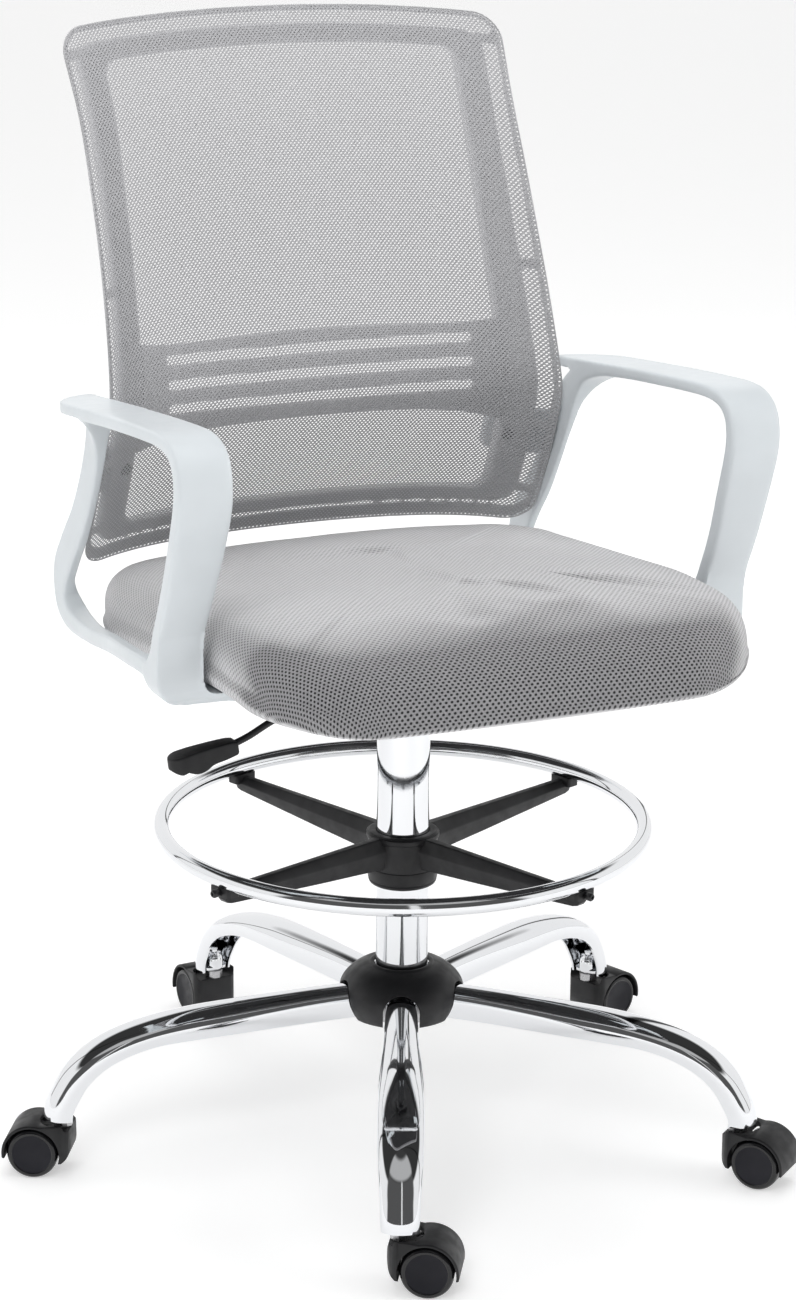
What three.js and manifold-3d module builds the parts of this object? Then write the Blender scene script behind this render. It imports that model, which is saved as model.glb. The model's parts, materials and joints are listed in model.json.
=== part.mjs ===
// Drafting chair: five-leg chrome base on twin-wheel casters, gas-lift column with a foot ring,
// upholstered seat, looped plastic arms and a mesh back.
// Millimetres, +Z up, the sitter faces -Y. The floor is z = 0.
import * as THREE from 'three';
import { mergeVertices } from 'three/addons/utils/BufferGeometryUtils.js';
import Module from 'manifold-3d';

const wasm = await Module();
wasm.setup();

// ---------------------------------------------------------------- driving dimensions
const FIT_GAP = 0.3;               // clearance between touching pieces
const DEG = Math.PI / 180;

// The origin is the centre of the footprint, so the column stands a little off it.
const COLUMN_X = 20;
const COLUMN_Y = -16;

// casters
const WHEEL_RADIUS = 24;
const WHEEL_WIDTH = 18;
const AXLE_RADIUS = 3;
const WEB_HALF = 3.5;              // half the thickness of the hood's middle web
const HOOD_HALF = 23;              // half the hood's width
const HOOD_RADIUS = 28.7;
const TRAIL = 26;                  // swivel axis to wheel axis
const SOCKET_RADIUS = 21.5;        // recess in the hood that the leg's end turns in
const SOCKET_FLOOR = 47;
const STEM_RADIUS = 5.5;
const STEM_NECK = 4;               // stem radius where the hood turns on it
const STEM_TOP = 70;

// base
const LEG_COUNT = 5;
const FIRST_LEG = -24.5;           // degrees from the front (-Y) towards +X
const CASTER_YAWS = [-32, -53, 20, 94, 149]; // trail direction of each caster, degrees from +X
const STEM_CIRCLE = 332;           // radius from the column to the caster stems
const LEG_END_Z = 56;               // lower end of the legs
const LEG_WALL = 2.6;
const HUB_RADIUS = 31;
const HUB_LOW = 120;
const HUB_HIGH = 163;

// column
const TUBE_RADIUS = 25;
const TUBE_WALL = 2;
const TUBE_LOW = 123;
const TUBE_HIGH = 432;
const CYLINDER_RADIUS = 14;
const CYLINDER_LOW = 176;
const CYLINDER_HIGH = 470;
const ROD_RADIUS = 5;

// foot ring
const RING_RADIUS = 227.7;
const RING_TUBE = 8;
const RING_Z = 313;
const SPOKE_COUNT = 4;
const FIRST_SPOKE = 20.4;
const PAD_REACH = 233;              // outer face of the pads that carry the ring
const SLEEVE_RADIUS = 33;
const SLEEVE_LOW = 254;
const SLEEVE_SPLIT = 271;
const SLEEVE_HIGH = 306;

// seat, in its own frame: tilted back about the column, z = 0 at the board's underside
const SEAT_TILT = 5.5;
const SEAT_Z = 496;
const SEAT_HALF_WIDTH = 242;
const SEAT_FRONT = -292;
const SEAT_REAR = 230;
const SEAT_THICK = 67;
const BOARD_THICK = 12;

// arms
const ARM_OUTER = 290.5;
const ARM_INNER = 240.5;

// back
const BACK_HALF_WIDTH = 228;
const BACK_LOW = 531;
const BACK_HIGH = 1034;
const BACK_CORNER = 24;

// ---------------------------------------------------------------- finishes
const finish = (color, roughness, metalness) =>
  new THREE.MeshStandardMaterial({ color, roughness, metalness });
const chrome = finish(0xd8dadc, 0.08, 1);
const steel = finish(0x9a9c9e, 0.35, 1);
const blackPlastic = finish(0x2b2b2d, 0.5, 0);
const blackSteel = finish(0x1d1d1f, 0.45, 0.6);
const whitePlastic = finish(0xe9ecee, 0.35, 0);
const greyPlastic = finish(0xa9a9ad, 0.55, 0);
const greyFabric = finish(0x8f8f92, 0.9, 0);
const meshFabric = finish(0xb9babd, 0.85, 0);
const plywood = finish(0xb99a6b, 0.7, 0);

// ---------------------------------------------------------------- shape helpers
const v3 = (x, y, z) => new THREE.Vector3(x, y, z);

// Closed surface through rings of equal point counts, capped at both ends unless it runs round.
function loft(rings, runsRound = false) {
  const count = rings[0].length;
  const positions = rings.flat().flatMap((p) => [p.x, p.y, p.z]);
  const index = [];
  const links = runsRound ? rings.length : rings.length - 1;
  for (let i = 0; i < links; i += 1) {
    const a = i * count;
    const b = ((i + 1) % rings.length) * count;
    for (let j = 0; j < count; j += 1) {
      const k = (j + 1) % count;
      index.push(a + j, a + k, b + k, a + j, b + k, b + j);
    }
  }
  if (!runsRound) {
    [[0, true], [rings.length - 1, false]].forEach(([ring, flip]) => {
      const middle = rings[ring].reduce((sum, p) => sum.add(p), v3(0, 0, 0)).divideScalar(count);
      const centre = positions.length / 3;
      positions.push(middle.x, middle.y, middle.z);
      for (let j = 0; j < count; j += 1) {
        const a = ring * count + j;
        const b = ring * count + ((j + 1) % count);
        index.push(...(flip ? [centre, b, a] : [centre, a, b]));
      }
    });
  }
  const geometry = new THREE.BufferGeometry();
  geometry.setAttribute('position', new THREE.Float32BufferAttribute(positions, 3));
  geometry.setIndex(index);
  return facingOut(geometry);
}

// Turns a closed surface the right way round, by the sign of its volume.
function facingOut(geometry) {
  const p = geometry.getAttribute('position');
  const index = geometry.getIndex().array;
  let volume = 0;
  for (let i = 0; i < index.length; i += 3) {
    const [a, b, c] = [0, 1, 2].map((k) => v3().fromBufferAttribute(p, index[i + k]));
    volume += a.dot(b.cross(c));
  }
  if (volume < 0) {
    for (let i = 0; i < index.length; i += 3) {
      [index[i], index[i + 1]] = [index[i + 1], index[i]];
    }
  }
  return geometry;
}

// Solid of revolution about Z from [radius, z] points; the outline is closed by itself.
function turned(points, segments = 32) {
  const closed = [...points, points[0]];
  const geometry = new THREE.LatheGeometry(closed.map(([r, z]) => new THREE.Vector2(r, z)), segments);
  return facingOut(welded(geometry.rotateX(Math.PI / 2)));
}

function welded(geometry) {
  const bare = geometry.index ? geometry : geometry.clone();
  bare.deleteAttribute('normal');
  bare.deleteAttribute('uv');
  const merged = mergeVertices(bare, 1e-4);
  const old = merged.getIndex().array;
  const kept = [];
  for (let i = 0; i < old.length; i += 3) {
    const [a, b, c] = [old[i], old[i + 1], old[i + 2]];
    if (a !== b && b !== c && c !== a) kept.push(a, b, c);
  }
  merged.setIndex(kept);
  return merged;
}

// Extrudes a closed outline of [x, y] points along +Z from z0 to z1.
function prism(points, z0, z1) {
  const flat = points.map(([x, y]) => new THREE.Vector2(x, y));
  const outline = THREE.ShapeUtils.isClockWise(flat) ? [...points].reverse() : points;
  const at = (z) => outline.map(([x, y]) => v3(x, y, z));
  const shape = outline.map(([x, y]) => new THREE.Vector2(x, y));
  const faces = THREE.ShapeUtils.triangulateShape(shape, []);
  const count = outline.length;
  const positions = [...at(z0), ...at(z1)].flatMap((p) => [p.x, p.y, p.z]);
  const index = [];
  faces.forEach(([a, b, c]) => index.push(c, b, a, a + count, b + count, c + count));
  for (let j = 0; j < count; j += 1) {
    const k = (j + 1) % count;
    index.push(j, k, k + count, j, k + count, j + count);
  }
  const geometry = new THREE.BufferGeometry();
  geometry.setAttribute('position', new THREE.Float32BufferAttribute(positions, 3));
  geometry.setIndex(index);
  return facingOut(geometry);
}

function box(x0, x1, y0, y1, z0, z1) {
  return prism([[x0, y0], [x1, y0], [x1, y1], [x0, y1]], z0, z1);
}

function rod(radius, z0, z1, segments = 16) {
  return turned([[0, z0], [radius, z0], [radius, z1], [0, z1]], segments);
}

function arc(cx, cy, radius, from, to, steps) {
  return Array.from({ length: steps + 1 }, (_, i) => {
    const angle = (from + ((to - from) * i) / steps) * DEG;
    return [cx + radius * Math.cos(angle), cy + radius * Math.sin(angle)];
  });
}

function roundedRectangle(x0, x1, y0, y1, radius, steps = 3) {
  return [
    ...arc(x1 - radius, y0 + radius, radius, -90, 0, steps),
    ...arc(x1 - radius, y1 - radius, radius, 0, 90, steps),
    ...arc(x0 + radius, y1 - radius, radius, 90, 180, steps),
    ...arc(x0 + radius, y0 + radius, radius, 180, 270, steps),
  ];
}

function toSolid(geometry) {
  const g = welded(geometry);
  return new wasm.Manifold(new wasm.Mesh({
    numProp: 3,
    vertProperties: new Float32Array(g.getAttribute('position').array),
    triVerts: new Uint32Array(g.getIndex().array),
  }));
}

function toGeometry(solid) {
  const { vertProperties, triVerts } = solid.getMesh();
  const geometry = new THREE.BufferGeometry();
  geometry.setAttribute('position', new THREE.Float32BufferAttribute(vertProperties, 3));
  geometry.setIndex([...triVerts]);
  return geometry;
}

const joined = (...parts) => toGeometry(parts.map(toSolid).reduce((sum, s) => sum.add(s)));
const cut = (body, ...tools) => toGeometry(
  tools.map(toSolid).reduce((left, s) => left.subtract(s), toSolid(body)),
);

const turnZ = (geometry, degrees) => geometry.rotateZ(degrees * DEG);

// Smooth curve value through [position, value] knots.
function through(knots) {
  const curve = new THREE.SplineCurve(knots.map(([a, b]) => new THREE.Vector2(a, b)));
  const samples = curve.getPoints(120);
  return (at) => {
    let i = 1;
    while (i < samples.length - 1 && samples[i].x < at) i += 1;
    const [a, b] = [samples[i - 1], samples[i]];
    const t = THREE.MathUtils.clamp((at - a.x) / (b.x - a.x), 0, 1);
    return a.y + (b.y - a.y) * t;
  };
}

// ---------------------------------------------------------------- the group
const chair = new THREE.Group();
const column = new THREE.Group();
column.position.set(COLUMN_X, COLUMN_Y, 0);
chair.add(column);

function add(name, geometry, material, parent = column) {
  const mesh = new THREE.Mesh(geometry, material);
  mesh.name = name;
  parent.add(mesh);
  return mesh;
}

// ---------------------------------------------------------------- base
// Radial direction of a leg or spoke, as a rotation of a piece drawn along -Y.
const radial = (first, count, k) => first + (360 / count) * k;

const legHeight = through([[31, 29], [120, 28], [200, 25.5], [250, 21], [300, 21], [345, 23], [430, 24]]);
const legWidth = through([
  [31, 29], [80, 31], [130, 35], [190, 41], [240, 43], [300, 42], [350, 37], [430, 31],
]);

// The leg's centre line in the plane of the leg: radius and height, ending straight down.
const legLine = new THREE.SplineCurve([
  [31.4, 140.5], [90, 140], [150, 138.5], [205, 136.5], [245, 132.5], [277, 124.5],
  [302, 112.5], [320, 96.5], [331, 79], [336.8, LEG_END_Z + 10], [338.3, LEG_END_Z],
].map(([r, z]) => new THREE.Vector2(r, z)));

// D-shaped section: flat underside, rounded top; "grow" thins it and opens it downwards.
function legSection(width, height, wall, below) {
  const half = width / 2 - wall;
  const top = height / 2 - wall;
  const shoulder = Math.min(half, top + height / 2) * 0.72;
  const low = -height / 2 - below;
  return [
    [half * 0.92, low],
    [half, top - shoulder],
    [half * 0.84, top - shoulder * 0.33],
    [half * 0.3, top],
    [-half * 0.3, top],
    [-half * 0.84, top - shoulder * 0.33],
    [-half, top - shoulder],
    [-half * 0.92, low],
  ];
}

function legShell(wall, below, lengthen) {
  const stations = [0, 0.2, 0.4, 0.54, 0.65, 0.73, 0.81, 0.9, 1];
  const total = legLine.getLength();
  const rings = stations.map((t) => {
    const centre = legLine.getPointAt(t);
    const along = legLine.getTangentAt(t);
    const reach = 31 + t * total;
    const push = t === 0 ? -lengthen : (t === 1 ? lengthen : 0);
    return legSection(legWidth(reach), legHeight(reach), wall, below).map(([side, up]) => v3(
      side,
      -(centre.x - along.y * up + along.x * push),
      centre.y + along.x * up + along.y * push,
    ));
  });
  return loft(rings);
}

function baseLeg() {
  const channel = cut(legShell(0, 0, 0), legShell(LEG_WALL, 6, 3));
  const block = rod(14, LEG_END_Z + 1, 78, 16).translate(0, -STEM_CIRCLE, 0);
  const trimmed = toSolid(block).intersect(toSolid(legShell(0.4, 2, -0.5)));
  const boss = rod(9.5, LEG_END_Z + 1.5, STEM_TOP + 4, 16).translate(0, -STEM_CIRCLE, 0);
  const bore = rod(STEM_RADIUS + FIT_GAP, LEG_END_Z - 4, STEM_TOP + 1).translate(0, -STEM_CIRCLE, 0);
  return cut(joined(channel, toGeometry(trimmed), boss), bore);
}

const legGeometry = baseLeg();
for (let k = 0; k < LEG_COUNT; k += 1) {
  add(`base_leg_${k + 1}`, turnZ(legGeometry.clone(), radial(FIRST_LEG, LEG_COUNT, k)), chrome);
}

add('base_hub', turned([
  [HUB_RADIUS, HUB_LOW], [HUB_RADIUS, HUB_HIGH], [TUBE_RADIUS + 0.35, HUB_HIGH],
  [TUBE_RADIUS + 0.35, TUBE_LOW - FIT_GAP], [20, TUBE_LOW - FIT_GAP], [20, HUB_LOW],
]), steel);

function hubCover() {
  const shell = turned([
    [26, 173], [30.5, 172.5], [46, 165.5], [55, 158.5], [59.5, 151], [59, 144], [52, 124],
    [49.5, 124.5], [56.4, 145], [56.8, 150], [53, 156.5], [44.6, 162.8], [30, 169.5], [26, 170],
  ], 26);
  const arch = [[-17.5, 110], [17.5, 110], ...arc(0, 141, 17.5, 0, 180, 6)];
  const tools = Array.from({ length: LEG_COUNT }, (_, k) => turnZ(
    prism(arch, 36, 70).rotateX(Math.PI / 2),
    radial(FIRST_LEG, LEG_COUNT, k),
  ));
  return cut(shell, ...tools);
}
add('hub_cover', hubCover(), blackPlastic);

// ---------------------------------------------------------------- casters
// Drawn about the swivel axis, with the trail along +X and the axle along Y.
function casterHood() {
  const side = [
    ...arc(TRAIL, WHEEL_RADIUS, HOOD_RADIUS, -9, 108, 8),
    [-4, 53], [-8.5, 48], [-9.5, 34], [-7, 22], [-2, 16],
  ];
  const body = prism(side, -HOOD_HALF, HOOD_HALF).rotateX(Math.PI / 2);
  const nose = prism(roundedRectangle(-10, 40, -HOOD_HALF, HOOD_HALF, 14, 3), 8, 60);
  const blank = toSolid(body).intersect(toSolid(nose.clone()).add(
    toSolid(box(20, 80, -HOOD_HALF, HOOD_HALF, 0, 60)),
  ));
  const wheelRoom = WHEEL_RADIUS + 2.2;
  const arch = (y0, y1) => rod(wheelRoom, y0, y1, 24).rotateX(-Math.PI / 2).translate(TRAIL, 0, WHEEL_RADIUS);
  const socket = rod(SOCKET_RADIUS, SOCKET_FLOOR, 70, 20);
  const stemHole = rod(STEM_NECK + FIT_GAP, 23, 60, 10);
  const axleHole = rod(AXLE_RADIUS + FIT_GAP, -30, 30, 10).rotateX(Math.PI / 2)
    .translate(TRAIL, 0, WHEEL_RADIUS);
  return cut(toGeometry(blank), arch(WEB_HALF, 30), arch(-30, -WEB_HALF), socket, stemHole, axleHole);
}

// Flat-faced wheel with a bevelled rim and a blind axle hole, its axis along Y, open side towards y = 0.
// One facet of the tread lies flat on the floor.
function casterWheel(side) {
  const inner = WEB_HALF + 0.6;
  const outer = inner + WHEEL_WIDTH;
  const bore = AXLE_RADIUS + FIT_GAP;
  const blind = outer - 4;
  const facets = 22;
  const tread = WHEEL_RADIUS / Math.cos(Math.PI / facets);
  const profile = [
    [bore, inner], [tread, inner], [tread, outer - 3],
    [tread - 4, outer], [0, outer], [0, blind], [bore, blind],
  ];
  return turned(profile, facets).rotateZ(Math.PI / facets).rotateX(-Math.PI / 2 * side)
    .translate(TRAIL, 0, WHEEL_RADIUS);
}

const hoodGeometry = casterHood();
for (let k = 0; k < LEG_COUNT; k += 1) {
  const angle = radial(FIRST_LEG, LEG_COUNT, k) * DEG;
  const caster = new THREE.Group();
  caster.position.set(STEM_CIRCLE * Math.sin(angle), -STEM_CIRCLE * Math.cos(angle), 0);
  caster.rotation.z = CASTER_YAWS[k] * DEG;
  column.add(caster);
  const name = `caster_${k + 1}`;
  const axleEnd = WEB_HALF + 0.6 + WHEEL_WIDTH - 5;
  add(`${name}_stem`, turned([
    [0, 39.5], [STEM_NECK, 39.5], [STEM_NECK, SOCKET_FLOOR + FIT_GAP], [9, SOCKET_FLOOR + FIT_GAP],
    [9, LEG_END_Z - 1.2], [STEM_RADIUS, LEG_END_Z - 1.2], [STEM_RADIUS, STEM_TOP], [0, STEM_TOP],
  ], 10), steel, caster);
  add(`${name}_hood`, hoodGeometry.clone(), blackPlastic, caster);
  add(`${name}_axle`, rod(AXLE_RADIUS, -axleEnd, axleEnd, 10).rotateX(Math.PI / 2)
    .translate(TRAIL, 0, WHEEL_RADIUS), steel, caster);
  add(`${name}_wheel_left`, casterWheel(1), blackPlastic, caster);
  add(`${name}_wheel_right`, casterWheel(-1), blackPlastic, caster);
}

// ---------------------------------------------------------------- column
add('stand_tube', turned([
  [ROD_RADIUS + 0.6, TUBE_LOW], [TUBE_RADIUS, TUBE_LOW], [TUBE_RADIUS, TUBE_HIGH - 1],
  [TUBE_RADIUS - 1, TUBE_HIGH], [TUBE_RADIUS - TUBE_WALL, TUBE_HIGH],
  [TUBE_RADIUS - TUBE_WALL, TUBE_LOW + 4], [ROD_RADIUS + 0.6, TUBE_LOW + 4],
], 32), chrome);

add('guide_bush', turned([
  [CYLINDER_RADIUS + FIT_GAP, 350], [TUBE_RADIUS - TUBE_WALL - FIT_GAP, 350],
  [TUBE_RADIUS - TUBE_WALL - FIT_GAP, TUBE_HIGH + FIT_GAP], [TUBE_RADIUS - 1.5, TUBE_HIGH + FIT_GAP],
  [TUBE_RADIUS - 2.5, TUBE_HIGH + 2.5], [CYLINDER_RADIUS + FIT_GAP, TUBE_HIGH + 2.5],
], 24), blackPlastic);

add('gas_cylinder', turned([
  [ROD_RADIUS + 0.4, CYLINDER_LOW], [CYLINDER_RADIUS, CYLINDER_LOW], [CYLINDER_RADIUS, CYLINDER_HIGH],
  [4.4, CYLINDER_HIGH], [4.4, 459], [0, 459], [0, 450], [11, 450],
  [11, CYLINDER_LOW + 8], [ROD_RADIUS + 0.4, CYLINDER_LOW + 8],
], 24), blackSteel);

add('piston_rod', turned([
  [0, 112], [3, 112], [3, 115], [ROD_RADIUS, 115], [ROD_RADIUS, 430], [10.6, 430], [10.6, 440], [0, 440],
], 16), steel);

add('thrust_bearing', turned([
  [ROD_RADIUS + 0.4, TUBE_LOW + 4 + FIT_GAP], [13, TUBE_LOW + 4 + FIT_GAP], [13, TUBE_LOW + 9],
  [ROD_RADIUS + 0.4, TUBE_LOW + 9],
], 20), steel);

add('retaining_clip', turned([
  [ROD_RADIUS + 0.4, TUBE_LOW - 2], [10, TUBE_LOW - 2], [10, TUBE_LOW - 0.5],
  [ROD_RADIUS + 0.4, TUBE_LOW - 0.5],
], 16), blackSteel);

// ---------------------------------------------------------------- foot ring
add('foot_ring', turned(arc(RING_RADIUS, RING_Z, RING_TUBE, 0, 315, 7), 44), chrome);

function ringSpoke() {
  const section = (width, low, high) => {
    const mid = low + (high - low) * 0.6;
    return [
      [width * 0.5, mid], [width * 0.18, high], [-width * 0.18, high], [-width * 0.5, mid],
      [-width * 0.34, low], [width * 0.34, low],
    ];
  };
  const stations = [[30, 20, 274.5], [60, 19, 277], [150, 17, 284], [229, 16, 291]];
  return loft(stations.map(([r, width, low]) => section(width, low, 304.6).map(([x, z]) => v3(x, -r, z))));
}

function ringSpider() {
  const sleeve = turned([
    [TUBE_RADIUS + 0.5, SLEEVE_SPLIT + FIT_GAP], [SLEEVE_RADIUS, SLEEVE_SPLIT + FIT_GAP],
    [SLEEVE_RADIUS, 299], [34.5, 301], [34.5, 304.5], [32, SLEEVE_HIGH],
    [TUBE_RADIUS + 0.5, SLEEVE_HIGH],
  ], 32);
  const clear = rod(TUBE_RADIUS + 0.5, 240, 320, 32);
  const ringRoom = turned(arc(RING_RADIUS, RING_Z, RING_TUBE + FIT_GAP, 0, 315, 7), 44);
  const arms = Array.from({ length: SPOKE_COUNT }, (_, k) => {
    const pad = prism(roundedRectangle(-13, 13, -PAD_REACH, -219, 3, 2), 298, 307);
    return turnZ(joined(ringSpoke(), pad), radial(FIRST_SPOKE, SPOKE_COUNT, k));
  });
  return cut(joined(sleeve, ...arms), clear, ringRoom);
}
add('ring_spider', ringSpider(), blackPlastic);

add('ring_lock_collar', turned([
  [TUBE_RADIUS + 0.5, SLEEVE_LOW], [31, SLEEVE_LOW], [32.8, SLEEVE_LOW + 3], [32.8, SLEEVE_SPLIT],
  [TUBE_RADIUS + 0.5, SLEEVE_SPLIT],
], 32), blackPlastic);

for (let k = 0; k < SPOKE_COUNT; k += 1) {
  const head = turned([[0, 0], [3.8, 0], [3.8, 6.6], [2.6, 8], [0, 8]], 10);
  add(`ring_screw_${k + 1}`, turnZ(head.rotateX(Math.PI / 2).translate(0, -PAD_REACH - FIT_GAP, 302.3),
    radial(FIRST_SPOKE, SPOKE_COUNT, k)), blackSteel);
}

// ---------------------------------------------------------------- seat
// Moves a piece drawn in the seat's own frame to its place over the column.
const tilted = (geometry) => geometry.rotateX(-SEAT_TILT * DEG).translate(0, 0, SEAT_Z);

// Plan outline of the seat, inset by "inset": straight sides, round corners, bowed front and rear.
function seatOutline(inset, steps = 4) {
  const half = SEAT_HALF_WIDTH - inset;
  const front = SEAT_FRONT + inset;
  const rear = SEAT_REAR - inset;
  const bow = (x, depth) => depth * Math.cos((x / half) * Math.PI / 2);
  const frontCorner = Math.max(96 - inset, 20);
  const rearCorner = Math.max(90 - inset, 20);
  const straight = rear - front - frontCorner - rearCorner;
  const sides = [0.15, 0.3, 0.5];
  const plain = [
    ...arc(half - frontCorner, front + frontCorner, frontCorner, -90, 0, steps),
    ...sides.map((t) => [half, front + frontCorner + t * straight]),
    ...arc(half - rearCorner, rear - rearCorner, rearCorner, 0, 90, steps),
    [(half - rearCorner) / 2, rear], [0, rear], [-(half - rearCorner) / 2, rear],
    ...arc(-half + rearCorner, rear - rearCorner, rearCorner, 90, 180, steps),
    ...[...sides].reverse().map((t) => [-half, front + frontCorner + t * straight]),
    ...arc(-half + frontCorner, front + frontCorner, frontCorner, 180, 270, steps),
    [-(half - frontCorner) / 2, front], [0, front], [(half - frontCorner) / 2, front],
  ];
  const middle = (front + rear) / 2;
  return plain.map(([x, y]) => [x, y < middle ? y - bow(x, 6) * ((middle - y) / (middle - front))
    : y + bow(x, 26) * ((y - middle) / (rear - middle))]);
}

// Waterfall front: the upholstery drops towards the front edge.
const waterfall = (y) => {
  const forward = Math.max((-90 - y) / (-90 - SEAT_FRONT), 0);
  return 30 * forward ** 2.2;
};

// Rings of [inset, height] over the seat's plan, following its waterfall front.
function seatSlab(levels) {
  return loft(levels.map(([inset, height]) => seatOutline(inset)
    .map(([x, y]) => v3(x, y, height - waterfall(y)))));
}

function seatCushion() {
  const body = seatSlab([
    [180, 0.4], [110, 0.4], [60, 0.4], [16, 0.6], [6, 6], [1, 17], [0, 31], [2.5, 44], [10, 56],
    [25, 63.5], [60, SEAT_THICK], [110, SEAT_THICK + 1], [180, SEAT_THICK + 1.5],
  ]);
  const high = BOARD_THICK + 0.4;
  const boardRoom = seatSlab([[180, -5], [110, -5], [60, -5], [24.6, -5], [24.6, high], [60, high],
    [110, high], [180, high]]);
  return tilted(cut(body, boardRoom));
}
add('seat_cushion', seatCushion(), greyFabric);

const armBoltSpot = (side) => [side * 190, -125];

function seatBoard() {
  const board = seatSlab([[180, 0], [110, 0], [60, 0], [25, 0], [25, BOARD_THICK], [60, BOARD_THICK],
    [110, BOARD_THICK], [180, BOARD_THICK]]);
  const holes = [1, -1].map((side) => rod(3.4, -8, 8, 10).translate(...armBoltSpot(side), 0));
  return tilted(cut(board, ...holes));
}
add('seat_board', seatBoard(), plywood);

// Pressed steel plate under the board, with a socket for the gas cylinder and a slot for the lever.
function seatPlate() {
  const flange = tilted(prism(roundedRectangle(-85, 85, -88, 110, 14, 2), -4.5, -0.5));
  const tray = box(-46, 46, -46, 46, 448, 494);
  const hollow = box(-43, 43, -43, 43, 440, 486);
  const socket = turned([
    [CYLINDER_RADIUS + 0.4, 446], [19, 446], [19, 469], [CYLINDER_RADIUS + 0.4, 469],
  ], 24);
  const shelf = box(-45, 45, -45, 45, 452, 456);
  const bore = rod(CYLINDER_RADIUS + 0.4, 440, 469, 24);
  const slot = box(-60, -15, -26, 4, 457, 484);
  const trim = tilted(prism([[-200, -200], [200, -200], [200, 200], [-200, 200]], -0.5, 60));
  return cut(joined(cut(tray, hollow), flange, shelf, socket), bore, slot, trim);
}
add('seat_plate', seatPlate(), blackSteel);

// ---------------------------------------------------------------- height lever
const LEVER_PIVOT = v3(-34, -14, 471);
const leverRoute = new THREE.CatmullRomCurve3([
  v3(2, -3, 479.5), v3(-20, -10, 477.5), LEVER_PIVOT.clone().add(v3(0, 0, 3)), v3(-80, -24, 461),
  v3(-140, -30, 442), v3(-170, -30, 427.5), v3(-193, -30, 419.5),
]);

function bar(curve, radius, steps, sides) {
  const rings = Array.from({ length: steps + 1 }, (_, i) => {
    const centre = curve.getPointAt(i / steps);
    const along = curve.getTangentAt(i / steps);
    const across = v3(0, 0, 1).cross(along).normalize();
    const up = along.clone().cross(across);
    return Array.from({ length: sides }, (_unused, j) => {
      const angle = (2 * Math.PI * j) / sides;
      return centre.clone().addScaledVector(across, radius * Math.cos(angle))
        .addScaledVector(up, radius * Math.sin(angle));
    });
  });
  return loft(rings);
}
add('lever_rod', bar(leverRoute, 3.2, 14, 8), blackSteel);

function leverGrip() {
  const outline = [
    [0, -4], [0, 8], [-8, 9.5], [-40, 8.5], [-60, 6], [-66, 1.5], [-64, -5], [-56, -8],
    [-50, -12], [-38, -12.5], [-30, -8.5], [-12, -6.5],
  ];
  const paddle = prism(outline, -12, 12).rotateX(Math.PI / 2).rotateY(-7 * DEG)
    .translate(-181, -30, 418.5);
  const corners = prism(roundedRectangle(-256, -180, -42, -18, 7, 3), 380, 460);
  const shaped = toGeometry(toSolid(paddle).intersect(toSolid(corners)));
  return cut(shaped, bar(leverRoute, 3.5, 14, 8));
}
add('lever_grip', leverGrip(), blackPlastic);
add('release_button', rod(4, 462.5, 475.8, 12), steel);

// ---------------------------------------------------------------- the back's surface
// Side view of the back's outer edge, its half width, and how far its middle lies behind the sides.
const edgeY = through([
  [520, 229], [541, 216], [607, 180], [645, 163], [681, 150], [709, 150], [754, 161.5], [789, 173],
  [833, 190], [886, 213], [956, 247], [1020, 284], [1050, 300], [1070, 311],
]);
const edgeWidth = through([
  [520, 238], [541, 239], [607, 239], [681, 236.5], [709, 233.3], [754, 230.4], [789, 228.7], [833, 226.9],
  [886, 225.6], [956, 224.8], [1020, 228.5], [1070, 230],
]);
const dish = through([[520, 34], [600, 42], [700, 45], [800, 45], [950, 28], [1030, 20], [1070, 18]]);
// Insets from the edge of the rim's inner side and of the beams: at the sides, below and above.
const RIM_IN = { side: 6.5, low: 14.5, high: 6.5 };
const BEAM_OUT = { side: 16, low: 17.5, high: 18 };
const BEAM_IN = { side: 44, low: 33, high: 36 };
const PANEL_MIDDLES = [-0.78, -0.5, 0, 0.5, 0.78];
const PANEL_LEVELS = [610, 645, 668, 690, 712, 740, 785, 835, 890, 945];
const BACK_BOLT_X = 202;
const BACK_BOLT_Z = 630;

// Depth of the panel at x, z.
function panelY(x, z) {
  const u = Math.min(Math.abs(x) / edgeWidth(z), 1);
  return edgeY(z) + dish(z) * (1 - u ** 5);
}

// Point of the panel: u runs from -1 to 1 across, v is the height at the sides, "behind" its depth.
function backPoint(u, v, behind) {
  const rise = (v - BACK_LOW) / (BACK_HIGH - BACK_LOW);
  const z = v + (1 - u * u) * (15 - rise);
  const x = u * edgeWidth(z);
  return v3(x, panelY(x, z) + behind, z);
}

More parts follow.
